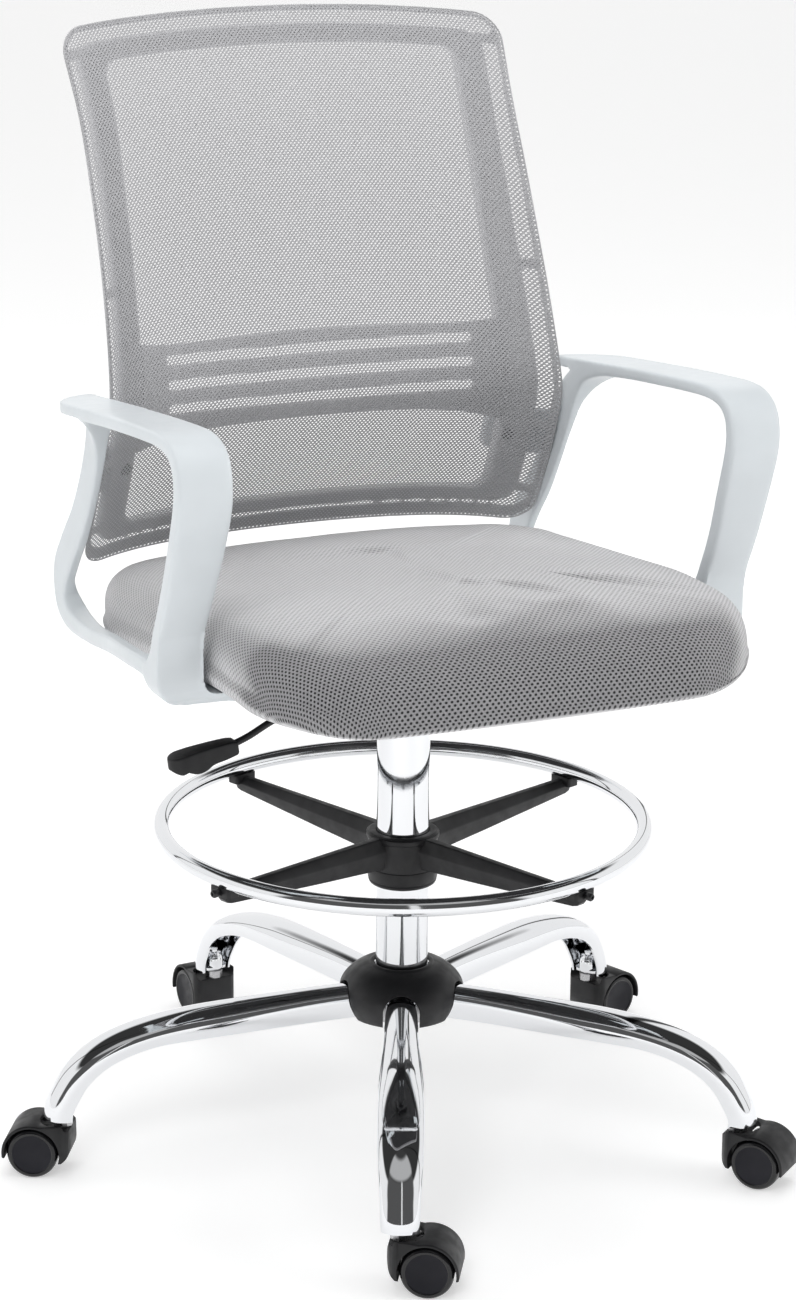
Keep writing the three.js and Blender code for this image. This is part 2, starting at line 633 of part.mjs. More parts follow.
// ---------------------------------------------------------------- arms
// Closed side loop: y and z of the band's middle, its thickness, and its outer and inner |x|.
const ARM_LOOP = [
  [-99, 524, 18, ARM_OUTER - 1, 248],
  [-117, 558, 17, ARM_OUTER, 247],
  [-138, 600, 17, ARM_OUTER, 245],
  [-155, 642, 17, ARM_OUTER, 242],
  [-168, 678, 17, ARM_OUTER, ARM_INNER],
  [-171, 700, 17, ARM_OUTER, ARM_INNER],
  [-166, 719, 16, ARM_OUTER, ARM_INNER],
  [-151, 730, 14, ARM_OUTER, ARM_INNER],
  [-126, 733.5, 13, ARM_OUTER, ARM_INNER],
  [-88, 731.5, 12.5, ARM_OUTER, ARM_INNER],
  [-30, 726.5, 12.5, ARM_OUTER, ARM_INNER],
  [30, 720.5, 12.5, ARM_OUTER, ARM_INNER],
  [85, 713, 14, ARM_OUTER - 4, ARM_INNER],
  [122, 702, 20, 270, ARM_INNER],
  [145, 683, 30, 256, ARM_INNER],
  [162, 655, 36, 250, ARM_INNER],
  [184, 615, 36, 249, ARM_INNER],
  [209, 577, 36, 250, ARM_INNER],
  [236, 545, 37, 251, ARM_INNER],
  [252, 519, 37, 252, ARM_INNER],
  [248.5, 493.6, 29, 253, 236],
  [222, 482.5, 21, 255, 234],
  [180, 483.8, 17.5, 259, 240],
  [125, 491, 16, 265, 247],
  [50, 504.8, 15.5, 275, 254],
  [-25, 516.8, 15.5, 286, 262],
  [-70, 522, 16, ARM_OUTER - 1, 262],
];

function armLoop(side) {
  const count = ARM_LOOP.length;
  const rings = ARM_LOOP.map(([y, z, thick, outer, inner], i) => {
    const [yBefore, zBefore] = ARM_LOOP[(i + count - 1) % count];
    const [yAfter, zAfter] = ARM_LOOP[(i + 1) % count];
    const along = new THREE.Vector2(yAfter - yBefore, zAfter - zBefore).normalize();
    const half = thick / 2;
    const soft = Math.min(4, half * 0.6, (outer - inner) * 0.25);
    const section = [
      [inner + soft, -half], [outer - soft, -half], [outer, -half + soft], [outer, half - soft],
      [outer - soft, half], [inner + soft, half], [inner, half - soft], [inner, -half + soft],
    ];
    return section.map(([x, up]) => v3(side * x, y - along.y * up, z + along.x * up));
  });
  return loft(rings, true);
}

function arm(side) {
  // The armrest runs on behind the rear post in a rounded end.
  const tail = [
    [ARM_OUTER, 40], [ARM_OUTER, 118], [284, 145], [272, 166], [257, 178], [ARM_INNER, 181], [ARM_INNER, 40],
  ].map(([x, y]) => [side * x, y]);
  const rest = prism(tail, -5.5, 5.5).rotateX(-6.2 * DEG).translate(0, 0, 724.5);
  // The front post turns in under the seat board as a flat tongue.
  const tongue = tilted(prism([
    [side * 264, -88], [side * 264, -126], [side * 250, -140], [side * 150, -140], [side * 150, -88],
  ], -15, -4));
  const seatBoltRoom = tilted(rod(3.4, -20, 0, 10).translate(...armBoltSpot(side), 0));
  const whole = joined(armLoop(side), rest, tongue, armHeel(side), backLug(side));
  return cut(whole, seatBoltRoom, backBoltRoom(side));
}

// Foot of the front post: it turns in under the seat, its outer corner in a wide curve.
function armHeel(side) {
  const corner = 30;
  const base = 491;
  const outline = [
    [-85, base], [-104, base], [-117, 497], [-123, 509], [-122, 528], [-116, 544], [-106, 544],
    [-92, 528], [-85, 522],
  ];
  const low = (x) => {
    const past = Math.max(x - (ARM_OUTER - corner), 0);
    return base + corner - Math.sqrt(corner ** 2 - past ** 2);
  };
  return facingOut(loft([248, 260.5, 271, 281, 287, ARM_OUTER - 0.4]
    .map((x) => outline.map(([y, z]) => v3(side * x, y, Math.max(z, low(x)))))));
}

// Flat lug behind the back's side beam, running in from the arm's rear post.
function backLug(side) {
  const stations = [[188, 13], [196, 22], [215, 25], [228, 25.5], [239, 25], [246, 23]];
  return loft(stations.map(([x, tall]) => [[-tall, 20.6], [tall, 20.6], [tall, 32], [-tall, 32]]
    .map(([up, behind]) => v3(side * x, panelY(x, BACK_BOLT_Z + up) + behind, BACK_BOLT_Z + up))));
}

// Clearance for the back bolt's shank, square to the side beam.
function backBoltRoom(side) {
  return rod(3.4, -12, 60, 10).rotateX(-Math.PI / 2).translate(side * BACK_BOLT_X,
    panelY(BACK_BOLT_X, BACK_BOLT_Z), BACK_BOLT_Z);
}

add('arm_left', arm(1), whitePlastic);
add('arm_right', arm(-1), whitePlastic);

// ---------------------------------------------------------------- back
// Loop of [across, height] points inside the back's edge by the given insets.
function backLoop(inset, corner) {
  const half = BACK_HALF_WIDTH - inset.side;
  const low = BACK_LOW + inset.low;
  const high = BACK_HIGH - inset.high;
  const across = PANEL_MIDDLES.map((u) => u * BACK_HALF_WIDTH);
  const points = [
    ...arc(half - corner, low + corner, corner, -90, 0, 2),
    ...PANEL_LEVELS.map((v) => [half, v]),
    ...arc(half - corner, high - corner, corner, 0, 90, 2),
    ...across.map((x) => [-x, high]),
    ...arc(-half + corner, high - corner, corner, 90, 180, 2),
    ...[...PANEL_LEVELS].reverse().map((v) => [-half, v]),
    ...arc(-half + corner, low + corner, corner, 180, 270, 2),
    ...across.map((x) => [x, low]),
  ];
  return points.map(([x, v]) => [x / BACK_HALF_WIDTH, v]);
}

function backBand([insetOuter, cornerOuter], [insetInner, cornerInner], front, back) {
  const outer = backLoop(insetOuter, cornerOuter);
  const inner = backLoop(insetInner, cornerInner);
  return loft(outer.map(([u, v], i) => [
    backPoint(u, v, front),
    backPoint(...inner[i], front),
    backPoint(...inner[i], back),
    backPoint(u, v, back),
  ]), true);
}

function backFrame() {
  const rimOut = { side: 1.5, low: 1.5, high: 1.5 };
  const rim = backBand([rimOut, BACK_CORNER - 1.5], [RIM_IN, BACK_CORNER - 6.5], 0.6, 5);
  const beam = backBand([BEAM_OUT, 20], [BEAM_IN, 5], 1.4, 20);
  const ribs = [568, 640, 800, 1010].flatMap((v) => [1, -1].map((side) => {
    const ring = (u) => [[-5, 2], [5, 2], [5, 5], [-5, 5]]
      .map(([up, behind]) => backPoint(side * u, v + up, behind));
    return loft([ring(0.9), ring(0.98)]);
  }));
  const counterbores = [1, -1].map((side) => rod(6.8, -20, 9, 12).rotateX(-Math.PI / 2)
    .translate(side * BACK_BOLT_X, panelY(BACK_BOLT_X, BACK_BOLT_Z), BACK_BOLT_Z));
  return cut(joined(rim, beam, ...ribs), ...counterbores, backBoltRoom(1), backBoltRoom(-1));
}
add('back_frame', backFrame(), greyPlastic);

// Lumbar plate between the side beams, with three long slots.
function lumbarSupport() {
  const half = 1 - (BEAM_IN.side + 0.4) / BACK_HALF_WIDTH;
  const columns = 10;
  const rings = Array.from({ length: columns + 1 }, (_, i) => {
    const u = -half + (2 * half * i) / columns;
    const flare = 10 * Math.abs(u / half) ** 6;
    return [[664 - flare, 2], [748 + flare, 2], [748 + flare, 7], [664 - flare, 7]]
      .map(([z, behind]) => backPoint(u, z - 14, behind));
  });
  const slots = [685, 708, 731].map((z) => prism(roundedRectangle(-160, 160, z - 5, z + 5, 4.9, 2), 120, 240)
    .rotateX(Math.PI / 2).translate(0, 360, 0));
  return cut(loft(rings), ...slots);
}
add('lumbar_support', lumbarSupport(), greyPlastic);

// Mesh panel, stretched from edge to edge over the rim and the beams.
function backMesh() {
  const insets = [RIM_IN, BEAM_OUT, BEAM_IN];
  const columns = [-1, ...insets.map((inset) => inset.side / BACK_HALF_WIDTH - 1)];
  const across = [...columns, ...PANEL_MIDDLES, ...columns.map((u) => -u).reverse()];
  const rounding = (fromEdge) => {
    const short = Math.max(BACK_CORNER - fromEdge, 0);
    return BACK_CORNER - Math.sqrt(BACK_CORNER ** 2 - short ** 2);
  };
  const rows = (end) => [0, 3, 9, ...insets.map((inset) => inset[end]).filter((d) => d > 9)];
  const levels = [
    ...rows('low').map((d) => BACK_LOW + d), ...PANEL_LEVELS,
    ...rows('high').map((d) => BACK_HIGH - d).reverse(),
  ];
  return loft(levels.map((v) => {
    const narrow = 1 - rounding(Math.min(v - BACK_LOW, BACK_HIGH - v)) / BACK_HALF_WIDTH;
    const row = (behind) => across.map((u) => backPoint(THREE.MathUtils.clamp(u, -narrow, narrow)
      + (Math.abs(u) > narrow ? Math.sign(u) * (Math.abs(u) - 1) * 0.02 : 0), v, behind));
    return [...row(-1.2), ...row(0).reverse()];
  }));
}
add('back_mesh', backMesh(), meshFabric);

// ---------------------------------------------------------------- bolts
[['left', 1], ['right', -1]].forEach(([name, side]) => {
  const seatBolt = joined(rod(3, -16, 6.5, 10), rod(6, -18.5, -15.3, 12));
  add(`arm_bolt_${name}`, tilted(seatBolt.translate(...armBoltSpot(side), 0)), blackSteel);
  const backBolt = joined(rod(3, 6, 44, 10), rod(6, 5, 8.7, 12));
  add(`back_bolt_${name}`, backBolt.rotateX(-Math.PI / 2).translate(side * BACK_BOLT_X,
    panelY(BACK_BOLT_X, BACK_BOLT_Z), BACK_BOLT_Z), blackSteel);
});

export default chair;
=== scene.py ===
"""Drafting chair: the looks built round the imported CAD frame.

Shapes are written in millimetres about the column's axis, with +Z up and the sitter facing -Y.
"""
import json
from math import cos, exp, pi, radians, sin, sqrt

import bmesh
import bpy
from mathutils import Matrix, Quaternion, Vector


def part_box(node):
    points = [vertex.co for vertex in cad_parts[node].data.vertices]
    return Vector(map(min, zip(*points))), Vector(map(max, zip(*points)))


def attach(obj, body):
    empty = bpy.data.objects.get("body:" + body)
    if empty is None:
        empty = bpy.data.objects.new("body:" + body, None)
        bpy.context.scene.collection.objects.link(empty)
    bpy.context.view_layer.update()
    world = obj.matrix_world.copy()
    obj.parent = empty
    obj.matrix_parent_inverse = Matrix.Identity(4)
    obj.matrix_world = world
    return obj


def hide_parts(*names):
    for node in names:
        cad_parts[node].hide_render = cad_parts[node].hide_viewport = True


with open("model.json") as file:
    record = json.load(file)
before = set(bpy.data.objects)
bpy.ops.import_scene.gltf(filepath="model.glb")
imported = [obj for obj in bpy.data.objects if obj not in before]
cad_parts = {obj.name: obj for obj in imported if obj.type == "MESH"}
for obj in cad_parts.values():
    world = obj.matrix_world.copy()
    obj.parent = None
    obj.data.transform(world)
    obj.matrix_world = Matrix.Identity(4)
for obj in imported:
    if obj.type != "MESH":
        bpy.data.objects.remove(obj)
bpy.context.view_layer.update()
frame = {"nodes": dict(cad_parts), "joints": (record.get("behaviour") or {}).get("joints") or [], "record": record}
scene = bpy.context.scene

# ------------------------------------- driving dimensions
tube_low, tube_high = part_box("stand_tube")
AXIS = Vector(((tube_low.x + tube_high.x) / 2, (tube_low.y + tube_high.y) / 2, 0))
MM = 0.001

WHEEL_RADIUS = 24
HOOD_RADIUS = 28.7
HOOD_HALF = 23
WEB_HALF = 3.5
STEM_CIRCLE = 332
LEG_COUNT = 5
FIRST_LEG = -24.5
RING_RADIUS = 227.7
RING_Z = 313
RING_TUBE = 8
FIRST_SPOKE = 20.4
SEAT_TILT = radians(5.5)
SEAT_Z = 496
SEAT_FRONT, SEAT_REAR = -292, 230
ARM_OUTER, ARM_INNER = 290.5, 240.5
BACK_LOW, BACK_HIGH, BACK_HALF = 531, 1034, 228
BACK_CORNER = 24
JOINTS = {joint["name"]: joint for joint in frame["joints"]}


# ------------------------------------- small shape helpers
def through(knots):
    """Smooth curve value through (position, value) knots, flat beyond the ends."""
    def value(at):
        if at <= knots[0][0]:
            return knots[0][1]
        if at >= knots[-1][0]:
            return knots[-1][1]
        i = max(k for k in range(len(knots) - 1) if knots[k][0] <= at)
        slopes = []
        for k in (i, i + 1):
            a, b = knots[max(k - 1, 0)], knots[min(k + 1, len(knots) - 1)]
            slopes.append((b[1] - a[1]) / (b[0] - a[0]))
        x0, y0 = knots[i]
        x1, y1 = knots[i + 1]
        t, h = (at - x0) / (x1 - x0), x1 - x0
        return ((2 * t**3 - 3 * t**2 + 1) * y0 + (t**3 - 2 * t**2 + t) * h * slopes[0]
                + (3 * t**2 - 2 * t**3) * y1 + (t**3 - t**2) * h * slopes[1])
    return value


def smooth_path(points, steps, closed=False):
    """Catmull-Rom points through the given points (lists of numbers), with steps per stretch."""
    count = len(points)
    made = []
    for i in range(count if closed else count - 1):
        ids = [i - 1, i, i + 1, i + 2]
        if closed:
            quad = [points[k % count] for k in ids]
        else:
            quad = [points[min(max(k, 0), count - 1)] for k in ids]
        for j in range(steps):
            t = j / steps
            made.append([0.5 * (2 * b + (c - a) * t + (2 * a - 5 * b + 4 * c - d) * t * t
                                + (3 * b - a - 3 * c + d) * t**3)
                         for a, b, c, d in zip(*quad)])
    if not closed:
        made.append(list(points[-1]))
    return made


def loft(rings, closed=False):
    """Vertices and faces of a surface through rings; open ends are capped."""
    count = len(rings[0])
    vertices = [Vector(p) for ring in rings for p in ring]
    faces = []
    for i in range(len(rings) if closed else len(rings) - 1):
        a, b = i * count, ((i + 1) % len(rings)) * count
        faces += [(a + j, a + (j + 1) % count, b + (j + 1) % count, b + j) for j in range(count)]
    if not closed:
        faces.append(tuple(range(count))[::-1])
        faces.append(tuple((len(rings) - 1) * count + j for j in range(count)))
    return vertices, faces


def lathe(profile, segments=96, closed=False):
    """Solid of revolution about Z from (radius, z) points; it starts and ends on the axis, or closes."""
    rings = [[(r * sin(2 * pi * k / segments), -r * cos(2 * pi * k / segments), z)
              for k in range(segments)] for r, z in profile]
    return loft(rings, closed)


def softened(profile, radius=0.6, steps=3, closed=True):
    """The same outline with each corner cut round."""
    points = [Vector(p) for p in profile]
    made = []
    for i, p in enumerate(points):
        if not closed and i in (0, len(points) - 1):
            made.append(tuple(p))
            continue
        before, after = points[i - 1] - p, points[(i + 1) % len(points)] - p
        reach = min(radius, before.length * 0.45, after.length * 0.45)
        a, b = p + before.normalized() * reach, p + after.normalized() * reach
        made += [tuple(a.lerp(p, t).lerp(p.lerp(b, t), t)) for t in
                 [k / steps for k in range(steps + 1)]]
    return made


def arc(cx, cy, radius, start, end, steps):
    return [(cx + radius * cos(radians(start + (end - start) * k / steps)),
             cy + radius * sin(radians(start + (end - start) * k / steps))) for k in range(steps + 1)]


def rounded_rectangle(x0, x1, y0, y1, radius, steps=6):
    return (arc(x1 - radius, y0 + radius, radius, -90, 0, steps)
            + arc(x1 - radius, y1 - radius, radius, 0, 90, steps)
            + arc(x0 + radius, y1 - radius, radius, 90, 180, steps)
            + arc(x0 + radius, y0 + radius, radius, 180, 270, steps))


def prism(outline, z0, z1):
    return loft([[(x, y, z) for x, y in outline] for z in (z0, z1)])


def moved(shape, matrix):
    return [matrix @ Vector(v) for v in shape[0]], shape[1]


def gathered(*shapes):
    """Several shapes as one list of vertices and faces."""
    vertices, faces = [], []
    for v, f in shapes:
        faces += [tuple(i + len(vertices) for i in face) for face in f]
        vertices += v
    return vertices, faces


def tube(path, radius, sides=12):
    """Round bar along a list of points."""
    points = [Vector(p) for p in path]
    rings = []
    for i, p in enumerate(points):
        along = (points[min(i + 1, len(points) - 1)] - points[max(i - 1, 0)]).normalized()
        across = Vector((0, 0, 1)).cross(along).normalized()
        up = along.cross(across)
        rings.append([p + radius * (across * cos(2 * pi * k / sides) + up * sin(2 * pi * k / sides))
                      for k in range(sides)])
    return loft(rings)


def turned(axis, degrees):
    return Matrix.Rotation(radians(degrees), 4, axis)


# ------------------------------------- making Blender objects
def raw_object(name, shape, place=None):
    """A mesh object in the row frame, from a shape in millimetres about the column's axis."""
    vertices, faces = shape
    mesh = bpy.data.meshes.new(name)
    mesh.from_pydata([(Vector(v) * MM + AXIS) if place is None else place @ Vector(v)
                      for v in vertices], [], faces)
    mesh.validate()
    form = bmesh.new()
    form.from_mesh(mesh)
    bmesh.ops.remove_doubles(form, verts=form.verts, dist=1e-6)
    bmesh.ops.recalc_face_normals(form, faces=form.faces)
    form.to_mesh(mesh)
    form.free()
    thing = bpy.data.objects.new(name, mesh)
    scene.collection.objects.link(thing)
    return thing


def settle(thing):
    """Applies the object's modifiers to its mesh."""
    bpy.context.view_layer.update()
    graph = bpy.context.evaluated_depsgraph_get()
    mesh = bpy.data.meshes.new_from_object(thing.evaluated_get(graph))
    thing.modifiers.clear()
    thing.data = mesh
    return thing


def carve(thing, cutters, operation="DIFFERENCE"):
    """Cuts away, or joins on, the other objects, which are then removed."""
    for cutter in cutters:
        step = thing.modifiers.new("carve", "BOOLEAN")
        step.operation = operation
        step.solver = "EXACT"
        step.object = cutter
    settle(thing)
    for cutter in cutters:
        bpy.data.objects.remove(cutter)
    return thing


def bevelled(thing, width_mm, segments=2, angle=35):
    step = thing.modifiers.new("edges", "BEVEL")
    step.width = width_mm * MM
    step.segments = segments
    step.limit_method = "ANGLE"
    step.angle_limit = radians(angle)
    return settle(thing)


def remeshed(thing, voxel_mm, smoothing):
    """One continuous skin over overlapping shapes, with soft edges and blends."""
    step = thing.modifiers.new("skin", "REMESH")
    step.mode = "VOXEL"
    step.voxel_size = voxel_mm * MM
    step.use_smooth_shade = True
    step = thing.modifiers.new("soften", "SMOOTH")
    step.factor = 0.5
    step.iterations = smoothing
    return settle(thing)


def piece(thing, body, slot, replaces=(), crease=38, material=None):
    """Finishes a piece: shading, material, the body it rides on and the CAD nodes it stands for."""
    mesh = thing.data
    mesh.polygons.foreach_set("use_smooth", [True] * len(mesh.polygons))
    mesh.set_sharp_from_angle(angle=radians(crease))
    if not mesh.materials:
        mesh.materials.append(material or FINISH_OF_SLOT[slot])
    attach(thing, body)
    if replaces:
        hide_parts(*replaces)
    return thing


# ------------------------------------- materials
class Nodes:
    """Short way to write the node tree of a material, or of a world."""

    def __init__(self, name, world=None):
        self.owner = world or bpy.data.materials.new(name)
        self.owner.use_nodes = True
        self.tree = self.owner.node_tree
        self.shader = self.tree.nodes["Background" if world else "Principled BSDF"]

    def link(self, value, socket):
        if isinstance(value, bpy.types.NodeSocket):
            self.tree.links.new(value, socket)
        else:
            socket.default_value = value

    def math(self, operation, a, b=0.0, c=0.0):
        node = self.tree.nodes.new("ShaderNodeMath")
        node.operation = operation
        for value, socket in zip((a, b, c), node.inputs):
            self.link(value, socket)
        return node.outputs[0]

    def position(self):
        return self.tree.nodes.new("ShaderNodeTexCoord").outputs["Object"]

    def facing(self, blend=0.5):
        """0 where the surface is seen square on, 1 where it is seen edge on."""
        node = self.tree.nodes.new("ShaderNodeLayerWeight")
        node.inputs["Blend"].default_value = blend
        return node.outputs["Facing"]

    def across(self, name="cloth"):
        """The two unrolled cloth coordinates, in millimetres."""
        uv = self.tree.nodes.new("ShaderNodeUVMap")
        uv.uv_map = name
        split = self.tree.nodes.new("ShaderNodeSeparateXYZ")
        self.tree.links.new(uv.outputs[0], split.inputs[0])
        return split.outputs[0], split.outputs[1]

    def noise(self, scale, detail=2.0, roughness=0.5):
        node = self.tree.nodes.new("ShaderNodeTexNoise")
        self.tree.links.new(self.position(), node.inputs["Vector"])
        node.inputs["Scale"].default_value = scale
        node.inputs["Detail"].default_value = detail
        node.inputs["Roughness"].default_value = roughness
        return node.outputs["Fac"]

    def remap(self, value, low, high, out_low, out_high, smooth=True):
        node = self.tree.nodes.new("ShaderNodeMapRange")
        node.interpolation_type = "SMOOTHSTEP" if smooth else "LINEAR"
        self.link(value, node.inputs[0])
        for number, socket in zip((low, high, out_low, out_high), node.inputs[1:5]):
            self.link(number, socket)
        return node.outputs[0]

    def mix(self, share, a, b):
        node = self.tree.nodes.new("ShaderNodeMix")
        node.data_type = "RGBA"
        self.link(share, node.inputs[0])
        self.link((*a, 1) if isinstance(a, tuple) else a, node.inputs[6])
        self.link((*b, 1) if isinstance(b, tuple) else b, node.inputs[7])
        return node.outputs[2]

    def bump(self, height, distance_mm, strength=1.0):
        node = self.tree.nodes.new("ShaderNodeBump")
        node.inputs["Strength"].default_value = strength
        node.inputs["Distance"].default_value = distance_mm * MM
        self.link(height, node.inputs["Height"])
        self.tree.links.new(node.outputs[0], self.shader.inputs["Normal"])

    def set(self, **values):
        for name, value in values.items():
            self.link(value, self.shader.inputs[name.replace("_", " ")])
        return self


def chrome_finish():
    n = Nodes("chrome_finish")
    n.set(Metallic=1.0, Base_Color=n.mix(n.noise(6), (0.76, 0.77, 0.79), (0.82, 0.83, 0.845)))
    n.set(Roughness=n.remap(n.noise(40), 0.3, 0.7, 0.035, 0.075))
    n.bump(n.noise(25), 0.05, 0.25)
    return n.owner


def moulded(name, colour, lift, roughness, grain_mm=0.6, depth_mm=0.03, spread=0.08, shine=0.5):
    """Moulded plastic or powder coat: fine grain, faint mottling, and paler patches at random."""
    n = Nodes(name)
    pale = tuple(min(1.0, c * lift + 0.004) for c in colour)
    n.set(Base_Color=n.mix(n.remap(n.noise(14, 3), 0.35, 0.7, 0, 1), colour, pale))
    n.set(Roughness=n.remap(n.noise(90, 3), 0.3, 0.7, roughness - spread, roughness + spread))
    n.set(Specular_IOR_Level=shine)
    n.bump(n.noise(1000 / grain_mm, 3, 0.6), depth_mm, 0.6)
    return n.owner


def steel_finish():
    n = Nodes("plain_steel")
    n.set(Metallic=1.0, Base_Color=n.mix(n.noise(60, 4), (0.42, 0.42, 0.43), (0.60, 0.60, 0.61)))
    n.set(Roughness=n.remap(n.noise(300, 4), 0.3, 0.7, 0.24, 0.42))
    n.bump(n.noise(900, 2), 0.03, 0.4)
    return n.owner


def plywood_finish():
    """Plywood board under a thin black lining, its grain just showing through."""
    n = Nodes("lined_plywood")
    stretch = n.tree.nodes.new("ShaderNodeMapping")
    stretch.inputs["Scale"].default_value = (14, 220, 60)
    n.tree.links.new(n.position(), stretch.inputs["Vector"])
    grain = n.tree.nodes.new("ShaderNodeTexNoise")
    n.tree.links.new(stretch.outputs[0], grain.inputs["Vector"])
    grain.inputs["Scale"].default_value = 1.0
    grain.inputs["Detail"].default_value = 6
    fibres = n.remap(n.noise(1400, 4), 0.35, 0.7, 0, 1)
    lining = n.mix(fibres, (0.010, 0.010, 0.011), (0.026, 0.026, 0.028))
    n.set(Base_Color=n.mix(n.remap(grain.outputs["Fac"], 0.5, 0.8, 0, 0.3), lining, (0.035, 0.032, 0.03)),
          Roughness=0.85)
    n.bump(fibres, 0.15, 0.6)
    return n.owner


def lattice(n, u, v, pitch_u, pitch_v, wide, tall, slant=0):
    """Distance from the nearest hole of a staggered lattice, in hole radii."""
    lean, rise = cos(radians(slant)), sin(radians(slant))
    found = []
    for shift in (0.0, 0.5):
        offsets = []
        for value, pitch in ((u, pitch_u), (v, pitch_v)):
            cell = n.math("FRACT", n.math("MULTIPLY_ADD", value, 1 / pitch, shift))
            offsets.append(n.math("MULTIPLY", n.math("SUBTRACT", cell, 0.5), pitch))
        across, up = offsets
        long_way = n.math("ADD", n.math("MULTIPLY", across, lean / wide),
                          n.math("MULTIPLY", up, rise / wide))
        short_way = n.math("SUBTRACT", n.math("MULTIPLY", up, lean / tall),
                           n.math("MULTIPLY", across, rise / tall))
        found.append(n.math("SQRT", n.math("ADD", n.math("MULTIPLY", long_way, long_way),
                                           n.math("MULTIPLY", short_way, short_way))))
    return n.math("MINIMUM", *found)


def seat_fabric_finish():
    """Spacer mesh: rows of small dark holes in a pale knitted face. The colour changes with the view: painted
    shade makes the holes near black and the yarn darker seen square on, and a painted sheen pales both seen edge
    on.
    """
    n = Nodes("seat_spacer_mesh")
    u, v = n.across()
    reach = lattice(n, u, v, 5.4, 6.6, 1.35, 1.2)
    # Painted light by view angle: 0 square on, 1 edge on. It darkens holes and yarn as painted shade square on and
    # pales them as a painted sheen edge on.
    painted_light_share = n.remap(n.facing(), 0.42, 0.70, 0, 1)
    face = n.remap(reach, 0.75, 1.25, 0, 1)
    strands = n.math("SINE", n.math("MULTIPLY", n.math("ADD", u, v), 2 * pi / 0.6))
    square_on = n.mix(n.remap(n.noise(700, 3), 0.3, 0.7, 0, 1), (0.25, 0.248, 0.256), (0.34, 0.338, 0.348))
    # The yarn's pale tone seen edge on is a painted sheen.
    yarn = n.mix(painted_light_share, square_on, (0.66, 0.656, 0.67))
    worn = n.mix(n.remap(n.noise(9, 3), 0.4, 0.75, 0, 0.15), yarn, (0.45, 0.447, 0.455))
    # Painted shade in the holes: near black seen square on. Seen edge on they take a paler painted sheen tone.
    hole = n.mix(painted_light_share, (0.015, 0.015, 0.017), (0.36, 0.36, 0.368))
    n.set(Base_Color=n.mix(face, hole, worn), Roughness=0.9)
    n.shader.inputs["Sheen Weight"].default_value = 0.25
    n.shader.inputs["Sheen Roughness"].default_value = 0.5
    n.bump(n.math("MULTIPLY_ADD", strands, 0.07, face), 0.7, 0.8)
    return n.owner


def back_mesh_finish():
    """Open stretched mesh: staggered slanting holes between grey strands."""
    n = Nodes("back_open_mesh")
    u, v = n.across()
    reach = lattice(n, u, v, 4.1, 4.7, 1.08, 0.66, 30)
    cover = n.remap(reach, 0.88, 1.12, 0, 1)
    strands = n.math("SINE", n.math("MULTIPLY", n.math("SUBTRACT", v, u), 2 * pi / 0.55))
    yarn = n.mix(n.remap(n.noise(900, 3), 0.3, 0.7, 0, 1), (0.38, 0.38, 0.392), (0.48, 0.48, 0.495))
    n.set(Base_Color=yarn, Roughness=0.82, Alpha=cover)
    n.shader.inputs["Sheen Weight"].default_value = 0.15
    n.bump(n.math("MULTIPLY_ADD", strands, 0.12, n.remap(reach, 0.8, 1.9, 0, 1)), 0.35, 0.7)
    return n.owner


CHROME = chrome_finish()
STEEL = steel_finish()
PLYWOOD = plywood_finish()
BLACK = moulded("black_plastic", (0.0085, 0.0085, 0.0095), 1.5, 0.46, shine=0.38)
WHEEL_FACE = moulded("wheel_face", (0.010, 0.010, 0.014), 1.4, 0.45, 0.8, shine=0.2)
WHEEL_RING = moulded("wheel_ring", (0.005, 0.005, 0.006), 1.3, 0.20, 2.0, 0.01, 0.04)
BLACK_STEEL = moulded("black_powder_coat", (0.006, 0.006, 0.007), 1.5, 0.36, 0.9, 0.05)
WHITE = moulded("white_plastic", (0.66, 0.70, 0.725), 1.04, 0.33, 1.6, 0.012, 0.04)
GREY = moulded("grey_plastic", (0.70, 0.70, 0.715), 1.06, 0.55)
PIPING = moulded("edge_binding", (0.40, 0.40, 0.41), 1.3, 0.8, 0.5, 0.1)
SEAT_FABRIC = seat_fabric_finish()
BACK_MESH = back_mesh_finish()

FINISH_OF_SLOT = {"chrome": CHROME, "steel": STEEL, "black_plastic": BLACK, "black_steel": BLACK_STEEL,
                  "white_plastic": WHITE, "grey_plastic": GREY, "seat_fabric": SEAT_FABRIC,
                  "mesh_fabric": BACK_MESH, "plywood": PLYWOOD}
for part in frame["record"]["subparts"]:
    node = frame["nodes"][part["node"]]
    node.data.materials.clear()
    node.data.materials.append(FINISH_OF_SLOT[part["material_slot"]])


# ------------------------------------- base legs
leg_height = through([(0, 29), (120, 28), (200, 25.5), (250, 21), (300, 21), (345, 23), (430, 24)])
leg_width = through([(0, 29), (80, 31), (130, 35), (190, 41), (240, 43), (300, 42), (350, 37), (430, 31)])
LEG_END = 56
LEG_LINE = [(31.4, 140.5), (90, 140), (150, 138.5), (205, 136.5), (245, 132.5), (277, 124.5),
            (302, 112.5), (320, 96.5), (331, 79), (336.8, LEG_END + 10), (338.3, LEG_END)]


def leg_section(width, height, wall):
    """Open channel: flat sides, rounded top, and the same again inside at the wall's depth."""
    def side(inset):
        half, top, low = width / 2 - inset, height / 2 - inset, -height / 2
        rise = min(half, height - 6 - inset) * 0.78
        dome = [(-half * cos(a) * 1.0, top - rise + rise * sin(a) ** 0.82)
                for a in [pi * k / 20 for k in range(1, 20)]]
        return [(-half * 0.93, low), (-half * 0.985, (low + top - rise) / 2), (-half, top - rise),
                *dome, (half, top - rise), (half * 0.985, (low + top - rise) / 2), (half * 0.93, low)]
    return side(0) + side(wall)[::-1]


